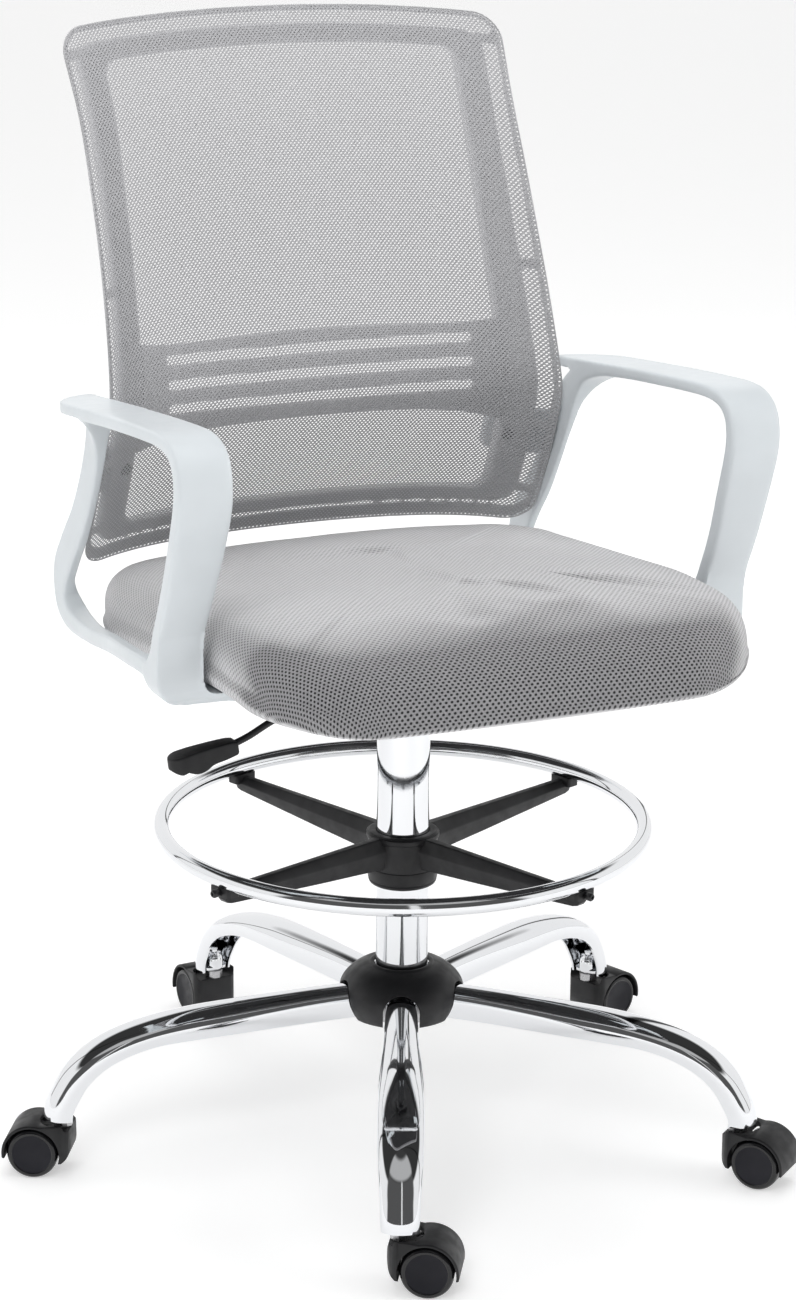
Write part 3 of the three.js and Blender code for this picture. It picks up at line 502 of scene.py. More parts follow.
def leg_shape():
    line = [Vector((r, z)) for r, z in smooth_path(LEG_LINE, 7)]
    rings, reach = [], 0.0
    for i, centre in enumerate(line):
        reach += (centre - line[i - 1]).length if i else 31
        along = (line[min(i + 1, len(line) - 1)] - line[max(i - 1, 0)]).normalized()
        rings.append([(x, -(centre.x - along.y * up), centre.y + along.x * up)
                      for x, up in leg_section(leg_width(reach), leg_height(reach), 2.4)])
    boss = lathe([(0, 1.2), (9.4, 1.2), (10, 2.4), (9.2, 15), (7.2, 18.4), (4.4, 19), (4.2, 21.4),
                  (0, 21.6)], 40)
    end_plate = prism(rounded_rectangle(-13.4, 13.4, -14.6, 8, 7.5), 1, 3.6)
    return gathered(loft(rings), moved(gathered(boss, end_plate),
                                       Matrix.Translation((0, -STEM_CIRCLE, LEG_END))))


leg = leg_shape()
screw_head = lathe([(0, 0), (4.4, 0), (4.2, -1.6), (2.8, -3.0), (1.2, -3.0), (1.0, -2.2), (0, -2.2)], 24)
SCREW_SPOTS = [Matrix.Translation((0, -r, 127.5)) for r in (52, 74)]
leg_turns = [turned("Z", FIRST_LEG + 360 / LEG_COUNT * k) for k in range(LEG_COUNT)]
for k, turn in enumerate(leg_turns, 1):
    piece(raw_object(f"leg_{k}", moved(leg, turn)), "base", "chrome", [f"base_leg_{k}"])
    screws = gathered(*[moved(screw_head, turn @ spot) for spot in SCREW_SPOTS])
    piece(raw_object(f"leg_screws_{k}", screws), "base", "black_steel")

# ------------------------------------- hub cover
DOME = [(26.3, 170.6), (26.3, 172.6), (27.6, 173.4), (29.6, 173.2), (31, 172.0), (34, 171.2), (40, 169.2),
        (46, 165.8), (51, 161.8), (55, 157.6), (57.8, 153.2), (59.2, 148.5), (59.2, 143), (57.5, 136),
        (54.6, 129), (52, 124), (50, 124), (52.4, 129.3), (55.3, 136.2), (57, 143), (57, 148.2),
        (55.8, 152), (53.2, 156.2), (49.6, 160), (44.8, 163.8), (39.2, 167), (33.4, 169), (28, 170.0)]
dome = raw_object("hub_dome", lathe(smooth_path(DOME, 2, True), 120, True))
arch = [(-17.3, 100)] + [(-x, z) for x, z in arc(0, 140.5, 17.3, 0, 180, 30)] + [(17.3, 100)]
cutters = [raw_object("arch", moved(prism(arch, 36, 80), turn @ turned("X", 90))) for turn in leg_turns]
piece(bevelled(carve(dome, cutters), 0.5, 2, 50), "base", "black_plastic", ["hub_cover"])

# ------------------------------------- column
tube_profile = softened([(5.6, 123), (25, 123), (25, 432), (23, 432), (23, 127), (5.6, 127)], 0.8)
piece(raw_object("column_tube", lathe(tube_profile, 128, True)), "base", "chrome", ["stand_tube"])
bush_profile = softened([(14.3, 350), (22.7, 350), (22.7, 432.3), (23.5, 432.3), (22.5, 434.5),
                         (14.3, 434.5)], 0.5)
piece(raw_object("column_bush", lathe(bush_profile, 96, True)), "base", "black_plastic", ["guide_bush"])
lift_profile = softened([(5.4, 176), (14, 176), (14, 470), (4.4, 470), (4.4, 459), (0, 459), (0, 450),
                         (11, 450), (11, 184), (5.4, 184)], 0.6)
piece(raw_object("lift_cylinder", lathe(lift_profile, 96, True)), "gas_lift", "black_steel",
      ["gas_cylinder"])


# ------------------------------------- casters
def hood_object(name):
    """Moulded hood about its swivel axis: crown over the wheels, scooped top, hanging rear lip."""
    trail = (Vector(JOINTS["caster_1_left_spin"]["pos_m"])
             - Vector(JOINTS["caster_1_swivel"]["pos_m"])).xy.length / MM
    side = arc(trail, WHEEL_RADIUS, HOOD_RADIUS, -10, 104, 46)
    side += smooth_path([side[-1], (4, 53.4), (-4, 52.6), (-8.4, 47.5), (-9.8, 38), (-9.2, 28), (-6.6, 20.5),
                         (-2, 16.2)], 5)[1:]
    side += [(4, 15.6), (trail, 15)]
    millimetres = Matrix.Scale(MM, 4)

    def made(label, shape):
        return raw_object(label, shape, millimetres)

    upright = turned("X", 90)
    hood = bevelled(made(name, moved(prism(side, -HOOD_HALF, HOOD_HALF), upright)), 2.6, 4, 60)
    plan = rounded_rectangle(-10.2, trail + 40, -HOOD_HALF - 0.2, HOOD_HALF + 0.2, 14, 10)
    hood = carve(hood, [made("plan", prism(plan, 0, 70))], "INTERSECT")
    cutters = []
    axle_place = Matrix.Translation((trail, 0, WHEEL_RADIUS)) @ upright
    for low, high in ((WEB_HALF, 40), (-40, -WEB_HALF)):
        wheel_room = lathe([(0, low), (26.2, low), (26.2, high), (0, high)], 72)
        cutters.append(made("room", moved(wheel_room, axle_place)))
    socket = lathe([(0, 47), (19.5, 47), (20.9, 48), (21.6, 52), (22.2, 60), (0, 60)], 72)
    cutters.append(made("socket", socket))
    below = [(trail - 60, -20), (trail + 60, -20), (trail + 60, 19.4), (trail + 26, 19.4),
             (trail + 12, 15.9), (trail - 60, 15.9)]
    cutters.append(made("below", moved(prism(below, -40, 40), upright)))
    cutters.append(made("stem", lathe([(0, 20), (4.3, 20), (4.3, 50), (0, 50)], 32)))
    return bevelled(carve(hood, cutters), 0.45, 2, 40)


WHEEL_PROFILE = [(0, 4.1), (3.4, 4.1), (20, 4.1), (22.6, 4.3), (23.7, 5.0), (24, 6.2), (24, 17.6),
                 (23.8, 18.9), (23.2, 20.2), (22.3, 21.2), (21.1, 21.8), (19.9, 21.9), (19.1, 21.6),
                 (18.7, 21.2), (18.2, 21.0), (0, 21.0)]
hood = hood_object("hood_pattern")
for k in range(1, LEG_COUNT + 1):
    pivot = Vector(JOINTS[f"caster_{k}_swivel"]["pos_m"])
    hub = Vector(JOINTS[f"caster_{k}_left_spin"]["pos_m"])
    trail = (hub - pivot).xy.normalized()
    heading = Matrix.Rotation(Vector((1, 0)).angle_signed(trail) * -1, 4, "Z")
    place = Matrix.Translation((pivot.x, pivot.y, 0)) @ heading
    cover = hood.copy()
    cover.data = hood.data.copy()
    cover.name = f"caster_cover_{k}"
    cover.data.transform(place)
    scene.collection.objects.link(cover)
    piece(cover, f"caster_{k}", "black_plastic", [f"caster_{k}_hood"])
    for side, sign in (("left", 1), ("right", -1)):
        upright = Matrix.Translation((hub.x, hub.y, WHEEL_RADIUS * MM)) @ heading @ turned("X", -90 * sign)
        wheel = raw_object(f"wheel_{k}_{side}", lathe(WHEEL_PROFILE, 72), upright @ Matrix.Scale(MM, 4))
        wheel.data.materials.append(WHEEL_RING)
        wheel.data.materials.append(WHEEL_FACE)
        spin = (heading @ Vector((0, sign, 0))).normalized()
        for face in wheel.data.polygons:
            off = face.center - hub
            radial = (off - spin * off.dot(spin)).length
            face.material_index = int(radial < 18.6 * MM)
        piece(wheel, f"caster_{k}_{side}", "black_plastic", [f"caster_{k}_wheel_{side}"], crease=50)
bpy.data.objects.remove(hood)

# ------------------------------------- foot ring
SEAM = radians(90)


def ring_shape():
    """The foot ring, with the two faint beads of its weld seam."""
    rings = []
    for k in range(200):
        angle = 2 * pi * k / 200
        bead = sum(exp(-((angle - SEAM + off) / 0.012) ** 2) for off in (0.022, -0.022))
        radius = RING_TUBE + 0.18 * bead
        ring = []
        for a in [2 * pi * j / 28 for j in range(28)]:
            reach = RING_RADIUS + radius * cos(a)
            ring.append((reach * sin(angle), -reach * cos(angle), RING_Z + radius * sin(a)))
        rings.append(ring)
    return loft(rings, True)


piece(raw_object("foot_ring_tube", ring_shape()), "foot_rest", "chrome", ["foot_ring"])

SLEEVE = softened([(25.5, 271.3), (33, 271.3), (33, 298.5), (34.6, 300.5), (34.6, 304.4), (32.4, 304.6),
                   (32, 306), (25.5, 306)], 0.7)
PAD_REACH = 233
SPOKE_TOP = 304.6
# Distance from the column, width and underside of a spoke.
SPOKE_STATIONS = [(28, 20.5, 274), (60, 19.5, 276.8), (105, 18.2, 280.2), (150, 17, 284),
                  (190, 16.4, 287.4), (222, 16, 290.2), (227, 15, 291.6), (229.4, 13.4, 294.6)]


def spoke_section(width, low):
    shoulder = low + (SPOKE_TOP - low) * 0.62
    return softened([(width * 0.5, shoulder), (width * 0.2, SPOKE_TOP), (-width * 0.2, SPOKE_TOP),
                     (-width * 0.5, shoulder), (-width * 0.36, low), (width * 0.36, low)], 1.2)


spoke = loft([[(x, -r, z) for x, z in spoke_section(width, low)] for r, width, low in SPOKE_STATIONS])
saddle = prism(rounded_rectangle(-12.8, 12.8, -PAD_REACH, -219.2, 3), 298.4, 306.8)
spider = raw_object("spider", lathe(SLEEVE, 128, True))
limbs = []
for k in range(4):
    turn = turned("Z", FIRST_SPOKE + 90 * k)
    limbs += [raw_object(f"limb_{k}", moved(spoke, turn)), raw_object(f"saddle_{k}", moved(saddle, turn))]
spider = carve(spider, limbs, "UNION")
bore = raw_object("bore", lathe([(0, 200), (25.5, 200), (25.5, 360), (0, 360)], 128))
groove = raw_object("groove", lathe(arc(RING_RADIUS, RING_Z, RING_TUBE + 0.3, 0, 360, 28)[:-1], 160, True))
piece(bevelled(carve(spider, [bore, groove]), 0.5, 2, 50), "foot_rest", "black_plastic", ["ring_spider"])
COLLAR = softened([(25.5, 254), (29.6, 254), (31.6, 255.2), (32.5, 257.4), (31.9, 258), (31.9, 259),
                   (32.9, 259.4), (33, 271), (25.5, 271)], 0.35, 2)
piece(raw_object("lock_collar", lathe(COLLAR, 128, True)), "ring_lock", "black_plastic",
      ["ring_lock_collar"])
end_screw = softened([(0, 0), (3.8, 0), (3.8, 6.6), (2.7, 7.9), (1.5, 7.9), (1.3, 6.2), (0, 6.2)],
                     0.4, 2, False)
screw_spot = Matrix.Translation((0, -PAD_REACH - 0.3, 302.3)) @ turned("X", 90)
for k in range(4):
    place = turned("Z", FIRST_SPOKE + 90 * k) @ screw_spot
    piece(raw_object(f"end_screw_{k + 1}", moved(lathe(end_screw, 28), place)), "foot_rest", "black_steel",
          [f"ring_screw_{k + 1}"])

# ------------------------------------- height lever
LEVER_ROUTE = [(2, -3, 479.5), (-20, -10, 477.5), (-34, -14, 474), (-80, -24, 461), (-140, -30, 442),
               (-170, -30, 427.5), (-193, -30, 419.5)]
piece(raw_object("lever_bar", tube(smooth_path(LEVER_ROUTE, 8), 3.2, 16)), "height_lever", "black_steel",
      ["lever_rod"])


def grip_shape():
    """Flat-topped paddle with a rounded tip, upright sides and finger hollows under it."""
    length, tip = 66, 12
    widest = through([(0, 8.2), (10, 9), (30, 10.4), (length - tip, 11.8), (length, 11.8)])
    top = through([(0, 8), (8, 9.4), (40, 8.8), (58, 7.2), (length, 5.6)])
    low = through([(0, -4), (12, -6), (26, -7.6), (33, -11), (40, -12.2), (46, -11), (51, -8.4), (56, -9.6),
                   (61, -8), (length, -4.4)])
    rings = []
    tip_stations = [length - tip * (1 - sin(pi / 2 * k / 9)) for k in range(10)]
    for s in [0, 0.5, 1.5, *range(3, length - tip, 3), *tip_stations]:
        past = max(0, (s - (length - tip)) / tip)
        half = widest(s) * max(sqrt(max(1 - past**2, 0)), 0.06)
        inset = 0.8 * max(0, 1 - s / 1.5)
        z0, z1 = low(s) + inset, top(s) - inset
        rings.append([(-s, y, z) for y, z in rounded_rectangle(-half + inset, half - inset, z0, z1,
                                                              min(1.7, half * 0.8), 5)])
    return loft(rings)


grip_place = Matrix.Translation((-181, -30, 418.5)) @ turned("Y", -7)
grip = raw_object("lever_paddle", moved(grip_shape(), grip_place))
piece(carve(grip, [raw_object("bar_room", tube(smooth_path(LEVER_ROUTE, 8), 3.5, 16))]), "height_lever",
      "black_plastic", ["lever_grip"], crease=50)

# ------------------------------------- seat
TILT = Matrix.Translation((0, 0, SEAT_Z)) @ Matrix.Rotation(-SEAT_TILT, 4, "X")
SEAT_HALF = 242
FRONT_CORNER, REAR_CORNER = 96, 90


def seat_outline(inset, steps=14):
    """Plan of the seat inset by a distance, as a list of points."""
    half, front, rear = SEAT_HALF - inset, SEAT_FRONT + inset, SEAT_REAR - inset
    fc, rc = max(FRONT_CORNER - inset, 20), max(REAR_CORNER - inset, 20)
    straight = rear - front - fc - rc
    side = [k / 24 for k in range(1, 24)]
    wide_front, wide_rear = 2 * (half - fc), 2 * (half - rc)
    plain = (arc(half - fc, front + fc, fc, -90, 0, steps)
             + [(half, front + fc + t * straight) for t in side]
             + arc(half - rc, rear - rc, rc, 0, 90, steps)
             + [(half - rc - t * wide_rear, rear) for t in [k / 20 for k in range(1, 20)]]
             + arc(-half + rc, rear - rc, rc, 90, 180, steps)
             + [(-half, rear - rc - t * straight) for t in side]
             + arc(-half + fc, front + fc, fc, 180, 270, steps)
             + [(-half + fc + t * wide_front, front) for t in [k / 20 for k in range(1, 20)]])
    middle = (front + rear) / 2
    made = []
    for x, y in plain:
        bow = cos(x / half * pi / 2)
        made.append((x, y - 6 * bow * (middle - y) / (middle - front) if y < middle
                     else y + 26 * bow * (y - middle) / (rear - middle)))
    return made


def waterfall(y):
    return 30 * max((-90 - y) / (-90 - SEAT_FRONT), 0) ** 2.2


# Inset from the seat's edge and height above the seat's plane, from the middle of the underside round
# the side to the middle of the top; the first four lie on the board.
CUSHION_LEVELS = [(190, 12.8), (110, 12.8), (60, 12.8), (25, 12.8), (24.8, 1.0), (22, 0.5), (16, 0.8),
                  (10, 3.0), (5, 7.6), (1.4, 14.6), (-0.5, 23), (-0.9, 32), (0.4, 41), (4, 49.4),
                  (10, 56.6), (18, 61.6), (28, 64.6), (42, 66.3), (60, 67.2), (84, 67.8), (110, 68.2),
                  (150, 68.5), (190, 68.6)]


def tucked(height, y):
    """Height of the cushion's skin: along the sides its lower edge hangs lower and turns under tighter."""
    share = min(max((y + 262) / 77, 0), 1)
    share = share * share * (3 - 2 * share)
    if height >= 23:
        return height
    return height + share * (23 - 26.4 * sqrt((23 - height) / 23) - height)


def cushion_object():
    """Upholstered cushion skin over the top and down the sides; its cloth coordinates are added afterwards by
    cloth_coordinates.
    """
    levels = smooth_path(CUSHION_LEVELS[4:], 3)
    rings = []
    for inset, height in CUSHION_LEVELS[:4] + levels:
        skin = [(x, y, height if inset >= 25 else tucked(height, y)) for x, y in seat_outline(inset)]
        rings.append([TILT @ Vector((x, y, z - waterfall(y))) for x, y, z in skin])
    return raw_object("seat_upholstery", loft(rings))


cushion = cushion_object()


def inflate(thing, pinned, cap_mm, pressure=4.0):
    """Swells the padding with a short cloth simulation; no point moves further than the cap."""
    mesh = thing.data
    start = [v.co.copy() for v in mesh.vertices]
    group = thing.vertex_groups.new(name="held")
    group.add(pinned, 1.0, "REPLACE")
    cloth = thing.modifiers.new("padding", "CLOTH")
    settings = cloth.settings
    settings.use_pressure = True
    settings.uniform_pressure_force = pressure
    settings.effector_weights.gravity = 0
    settings.vertex_group_mass = "held"
    settings.quality = 6
    settings.tension_stiffness = 30
    settings.compression_stiffness = 30
    settings.bending_stiffness = 4
    cloth.point_cache.frame_start = 1
    cloth.point_cache.frame_end = 20
    for number in range(1, 21):
        scene.frame_set(number)
    settle(thing)
    scene.frame_set(1)
    for vertex, origin in zip(thing.data.vertices, start):
        step = vertex.co - origin
        if step.length > cap_mm * MM:
            vertex.co = origin + step.normalized() * cap_mm * MM
    thing.vertex_groups.clear()


def cloth_coordinates(thing):
    """Cloth coordinates in millimetres: the plan on top, unrolled outwards down the sides."""
    mesh = thing.data
    layer = mesh.uv_layers.new(name="cloth")
    back = TILT.inverted()
    for loop in mesh.loops:
        p = back @ ((mesh.vertices[loop.vertex_index].co - AXIS) / MM)
        x_in = SEAT_HALF - FRONT_CORNER
        inner = Vector((max(-x_in, min(x_in, p.x)),
                        max(SEAT_FRONT + FRONT_CORNER, min(SEAT_REAR - REAR_CORNER, p.y))))
        out = Vector((p.x, p.y)) - inner
        drop = max(0.0, 66 - p.z - waterfall(p.y))
        reach = out.length
        layer.data[loop.index].uv = inner + out.normalized() * (reach + drop * min(1, reach / 60))


held = [v.index for v in cushion.data.vertices
        if (TILT.inverted() @ ((v.co - AXIS) / MM)).z + waterfall((v.co.y - AXIS.y) / MM) < 14]
inflate(cushion, held, 5)
cloth_coordinates(cushion)
smoother = cushion.modifiers.new("fine", "SUBSURF")
smoother.levels = smoother.render_levels = 1
settle(cushion)
piece(cushion, "seat", "seat_fabric", ["seat_cushion"], crease=80)

# ------------------------------------- the back's surface
# Side view of the outer edge, its half width, and how far the middle lies behind it, all by height.
edge_y = through([(520, 229), (541, 216), (607, 180), (645, 163), (681, 150), (709, 150), (754, 161.5),
                  (789, 173), (833, 190), (886, 213), (956, 247), (1020, 284), (1050, 300), (1070, 311)])
edge_width = through([(520, 238), (541, 239), (607, 239), (681, 236.5), (709, 233.3), (754, 230.4),
                      (789, 228.7), (833, 226.9), (886, 225.6), (956, 224.8), (1020, 228.5), (1070, 230)])
dish = through([(520, 34), (600, 42), (700, 45), (800, 45), (950, 28), (1030, 20), (1070, 18)])


def panel_y(x, z):
    u = min(abs(x) / edge_width(z), 1)
    return edge_y(z) + dish(z) * (1 - u**5)


def back_point(u, v, behind=0.0):
    """Point of the back panel: u from -1 to 1 across, v the height at its sides."""
    rise = (v - BACK_LOW) / (BACK_HIGH - BACK_LOW)
    z = v + (1 - u * u) * (15 - rise)
    x = u * edge_width(z)
    return Vector((x, panel_y(x, z) + behind, z))


def back_loop(inset, corner, side_steps=60, across_steps=40, corner_steps=8):
    """(u, v) points round the back inside its edge; the inset is (sides, below, above)."""
    half, low, high = BACK_HALF - inset[0], BACK_LOW + inset[1], BACK_HIGH - inset[2]

    def run(a, b, steps):
        return [tuple(Vector(a).lerp(b, k / steps)) for k in range(1, steps)]
    points = (arc(half - corner, low + corner, corner, -90, 0, corner_steps)
              + run((half, low + corner), (half, high - corner), side_steps)
              + arc(half - corner, high - corner, corner, 0, 90, corner_steps)
              + run((half - corner, high), (-half + corner, high), across_steps)
              + arc(-half + corner, high - corner, corner, 90, 180, corner_steps)
              + run((-half, high - corner), (-half, low + corner), side_steps)
              + arc(-half + corner, low + corner, corner, 180, 270, corner_steps)
              + run((-half + corner, low), (half - corner, low), across_steps))
    return [(x / BACK_HALF, v) for x, v in points]


# ------------------------------------- back mesh
def mesh_object():
    columns = [sin(pi / 2 * k / 44) if abs(k) < 44 else k / 44 for k in range(-44, 45)]
    rows = [BACK_LOW + (BACK_HIGH - BACK_LOW) * k / 110 for k in range(111)]
    for d in (0.6, 1.6, 3, 6, 9):
        rows += [BACK_LOW + d, BACK_HIGH - d]
    rows = sorted(set(rows))

    def narrow(v):
        near = max(BACK_CORNER - min(v - BACK_LOW, BACK_HIGH - v), 0)
        return 1 - (BACK_CORNER - sqrt(BACK_CORNER**2 - near**2)) / BACK_HALF
    grid = [[back_point(u * narrow(v), v, -0.9) for u in columns] for v in rows]
    vertices = [p for row in grid for p in row]
    wide = len(columns)
    faces = [(i * wide + j, i * wide + j + 1, (i + 1) * wide + j + 1, (i + 1) * wide + j)
             for i in range(len(rows) - 1) for j in range(wide - 1)]
    mesh = bpy.data.meshes.new("stretched_mesh")
    mesh.from_pydata([v * MM + AXIS for v in vertices], [], faces)
    thing = bpy.data.objects.new("stretched_mesh", mesh)
    scene.collection.objects.link(thing)
    climb = [0.0]
    for a, b in zip(grid, grid[1:]):
        climb.append(climb[-1] + (b[wide // 2] - a[wide // 2]).length)
    layer = mesh.uv_layers.new(name="cloth")
    for loop in mesh.loops:
        i, j = divmod(loop.vertex_index, wide)
        layer.data[loop.index].uv = (grid[i][j].x, climb[i])
    return thing, climb[-1]


stretched, mesh_length = mesh_object()
piece(stretched, "seat", "mesh_fabric", ["back_mesh"], crease=80)


# ------------------------------------- back frame
BACK_BOLT_X, BACK_BOLT_Z = 202, 630


def back_bolt_place(sign):
    """Axis of the bolt that joins the back to an arm, square to the side beam."""
    return (Matrix.Translation((sign * BACK_BOLT_X, panel_y(BACK_BOLT_X, BACK_BOLT_Z), BACK_BOLT_Z))
            @ turned("X", -90))


def band(outer, inner, front, back, soft=1.5):
    """Rounded bar between two loops of the back panel."""
    rings = []
    for a, b in zip(outer, inner):
        corners = [back_point(*a, front), back_point(*b, front), back_point(*b, back), back_point(*a, back)]
        ring = []
        for i, p in enumerate(corners):
            before, after = corners[i - 1] - p, corners[(i + 1) % 4] - p
            reach_a, reach_b = min(soft, before.length * 0.4), min(soft, after.length * 0.4)
            start, end = p + before.normalized() * reach_a, p + after.normalized() * reach_b
            ring += [start.lerp(p, t).lerp(p.lerp(end, t), t) for t in (0, 0.5, 1)]
        rings.append(ring)
    return loft(rings, True)


def frame_object():
    rim = band(back_loop((1.2, 1.2, 1.2), BACK_CORNER - 1.2),
               back_loop((5.4, 14.5, 5.4), BACK_CORNER - 5.4), 0.2, 4.2, 1.2)
    beam = band(back_loop((16, 17.5, 18), 20), back_loop((44, 33, 36), 14), 1.4, 20, 4)
    ribs = []
    for v in (568, 640, 800, 1010):
        for side in (1, -1):
            corners = [(v - 5, 3), (v + 5, 3), (v + 5, 6), (v - 5, 6)]
            ribs.append(loft([[back_point(side * u, at, behind) for at, behind in corners]
                              for u in (0.9, 0.985)]))
    thing = remeshed(raw_object("back_carrier", gathered(rim, beam, *ribs)), 1.5, 3)
    counterbore = lathe([(0, -20), (6.8, -20), (6.8, 9), (0, 9)], 48)
    shank_room = lathe([(0, -20), (3.4, -20), (3.4, 60), (0, 60)], 32)
    return carve(thing, [raw_object("bolt_room", moved(shape, back_bolt_place(sign)))
                         for sign in (1, -1) for shape in (counterbore, shank_room)])


piece(frame_object(), "seat", "grey_plastic", ["back_frame"], crease=60)


LUMBAR_LOW, LUMBAR_HIGH = 650, 734


def lumbar_object():
    """Plate across the back between the side beams, flared at its ends, with three slots."""
    half = 1 - 44.4 / BACK_HALF
    steps = 72
    rings = []
    for k in range(steps + 1):
        u = -half + 2 * half * k / steps
        flare = 10 * abs(u / half) ** 6
        span = [LUMBAR_LOW - flare + (LUMBAR_HIGH - LUMBAR_LOW + 2 * flare) * t / 10 for t in range(11)]
        rings.append([back_point(u, z, 2) for z in span] + [back_point(u, z, 7) for z in span[::-1]])
    thing = raw_object("lumbar_plate", loft(rings))
    slots = [raw_object(f"slot_{z}", moved(prism(rounded_rectangle(-160, 160, z - 5, z + 5, 4.9), 120, 240),
                                          Matrix.Translation((0, 360, 0)) @ turned("X", 90)))
             for z in (685, 708, 731)]
    return bevelled(carve(thing, slots), 0.8, 2, 50)


piece(lumbar_object(), "seat", "grey_plastic", ["lumbar_support"], crease=50)

binding_path = [back_point(u, v, -0.6) for u, v in back_loop((0.2, 0.2, 0.2), BACK_CORNER - 0.2)]


def binding_shape():
    """Thin hem round the mesh's wrapped edge."""
    rings = []
    count = len(binding_path)
    for i, p in enumerate(binding_path):
        along = (binding_path[(i + 1) % count] - binding_path[i - 1]).normalized()
        out = along.cross(Vector((0, 1, 0))).normalized()
        depth = out.cross(along).normalized()
        rings.append([p + 0.75 * (out * cos(2 * pi * j / 10) + depth * sin(2 * pi * j / 10))
                      for j in range(10)])
    return loft(rings, True)


binding = piece(raw_object("mesh_binding", binding_shape()), "seat", "mesh_fabric", crease=80,
                material=PIPING)

# ------------------------------------- arms
ARM_LOOP = [
    (-99, 524, 18, ARM_OUTER - 1, 248), (-117, 558, 17, ARM_OUTER, 247), (-138, 600, 17, ARM_OUTER, 245),
    (-155, 642, 17, ARM_OUTER, 242), (-168, 678, 17, ARM_OUTER, ARM_INNER),
    (-171, 700, 17, ARM_OUTER, ARM_INNER), (-166, 719, 16, ARM_OUTER, ARM_INNER),
    (-151, 730, 14, ARM_OUTER, ARM_INNER), (-126, 733.5, 13, ARM_OUTER, ARM_INNER),
    (-88, 731.5, 12.5, ARM_OUTER, ARM_INNER), (-30, 726.5, 12.5, ARM_OUTER, ARM_INNER),
    (30, 720.5, 12.5, ARM_OUTER, ARM_INNER), (85, 713, 14, ARM_OUTER - 4, ARM_INNER),
    (122, 702, 20, 270, ARM_INNER), (145, 683, 30, 256, ARM_INNER), (162, 655, 36, 250, ARM_INNER),
    (184, 615, 36, 249, ARM_INNER), (209, 577, 36, 250, ARM_INNER), (236, 545, 37, 251, ARM_INNER),
    (252, 519, 37, 252, ARM_INNER), (248.5, 493.6, 29, 253, 236), (222, 482.5, 21, 255, 234),
    (180, 483.8, 17.5, 259, 240), (125, 491, 16, 265, 250), (50, 504.8, 15.5, 275, 262),
    (-25, 516.8, 15.5, 286, 274), (-70, 522, 16, ARM_OUTER - 1, 276)]
ARM_BOLT = (190, -125)
HEEL_SIDE = [(-85, 491), (-104, 491), (-112, 493.2), (-118.5, 498.5), (-122.6, 507), (-123.6, 518),
             (-123.2, 530), (-123.8, 543), (-126, 556), (-130, 568), (-120, 568), (-106, 544), (-96, 533),
             (-85, 524)]


def heel_shape():
    """Foot of the front post: it turns in under the seat, its outer corner in a wide curve."""
    corner = 30
    start = ARM_OUTER - corner
    rings = []
    stations = [(214, 503), (236, 503), (241, 504.5), (244.5, 508), (246.5, 513), (247.6, 520), (248, 568)]
    stations += [(start + corner * sin(pi / 2 * k / 9), 568) for k in range(10)]
    for x, high in stations:
        low = HEEL_SIDE[0][1] + corner - sqrt(max(corner**2 - max(x - start, 0) ** 2, 0))
        rings.append([(x, y, min(max(z, low), high)) for y, z in HEEL_SIDE])
    return loft(rings)


# Distance from the middle and half height of the lug behind the back's side beam.
LUG_STATIONS = [(188, 12), (191, 17), (196, 21), (204, 24), (214, 25), (226, 25), (236, 25), (239, 24.5),
                (245, 23)]


def lug_section(x, tall):
    corners = [(BACK_BOLT_Z - tall, 20.6), (BACK_BOLT_Z + tall, 20.6), (BACK_BOLT_Z + tall, 32),
               (BACK_BOLT_Z - tall, 32)]
    return [(x, panel_y(x, z) + behind, z) for z, behind in corners]


def arm_object(name, sign):
    """One arm: closed side loop, armrest end, foot, tongue under the board and lug behind the back."""
    path = smooth_path(ARM_LOOP, 8, True)
    rings = []
    for i, (y, z, thick, outer, inner) in enumerate(path):
        ahead, behind = path[(i + 1) % len(path)], path[i - 1]
        along = Vector((ahead[0] - behind[0], ahead[1] - behind[1])).normalized()
        wide, half, middle = (outer - inner) / 2, thick / 2, (outer + inner) / 2
        ring = []
        for a in [2 * pi * j / 28 for j in range(28)]:
            across = wide * abs(cos(a)) ** 0.24 * (1 if cos(a) > 0 else -1)
            up = half * abs(sin(a)) ** 0.3 * (1 if sin(a) > 0 else -1)
            ring.append((sign * (middle + across), y - along.y * up, z + along.x * up))
        rings.append(ring)
    tail = ([(ARM_OUTER - 0.5, 30), (ARM_OUTER - 0.5, 112)] + smooth_path(
        [(ARM_OUTER - 0.5, 112), (288, 132), (281, 150), (270, 166), (257, 177), (246, 180.5)], 4)[1:]
        + [(ARM_INNER + 0.3, 180.5), (ARM_INNER + 0.3, 30)])
    rest = prism(tail, -5.2, 5.2)
    tongue = prism([(262, -88), (262, -110), (222, -114), (212, -124), (203, -132), (196, -134),
                    (150, -134), (150, -88)], -15, -4)
    lug = loft([lug_section(x, tall) for x, tall in LUG_STATIONS])
    rest_place = Matrix.Translation((0, 0, 724.5)) @ turned("X", -6.2)
    shape = gathered(moved(rest, rest_place), moved(tongue, TILT), heel_shape(), lug)
    mirrored = moved(shape, Matrix.Scale(sign, 4, (1, 0, 0)))
    thing = remeshed(raw_object(name, gathered(loft(rings, True), mirrored)), 1.4, 5)
    seat_bolt_place = TILT @ Matrix.Translation((sign * ARM_BOLT[0], ARM_BOLT[1], 0))
    rooms = [moved(lathe([(0, low), (3.4, low), (3.4, high), (0, high)], 32), place)
             for low, high, place in ((-20, 0, seat_bolt_place), (-12, 60, back_bolt_place(sign)))]
    return carve(thing, [raw_object("bolt_room", room) for room in rooms])


for label, sign in (("left", 1), ("right", -1)):
    piece(arm_object(f"armrest_{label}", sign), "seat", "white_plastic", [f"arm_{label}"], crease=75)

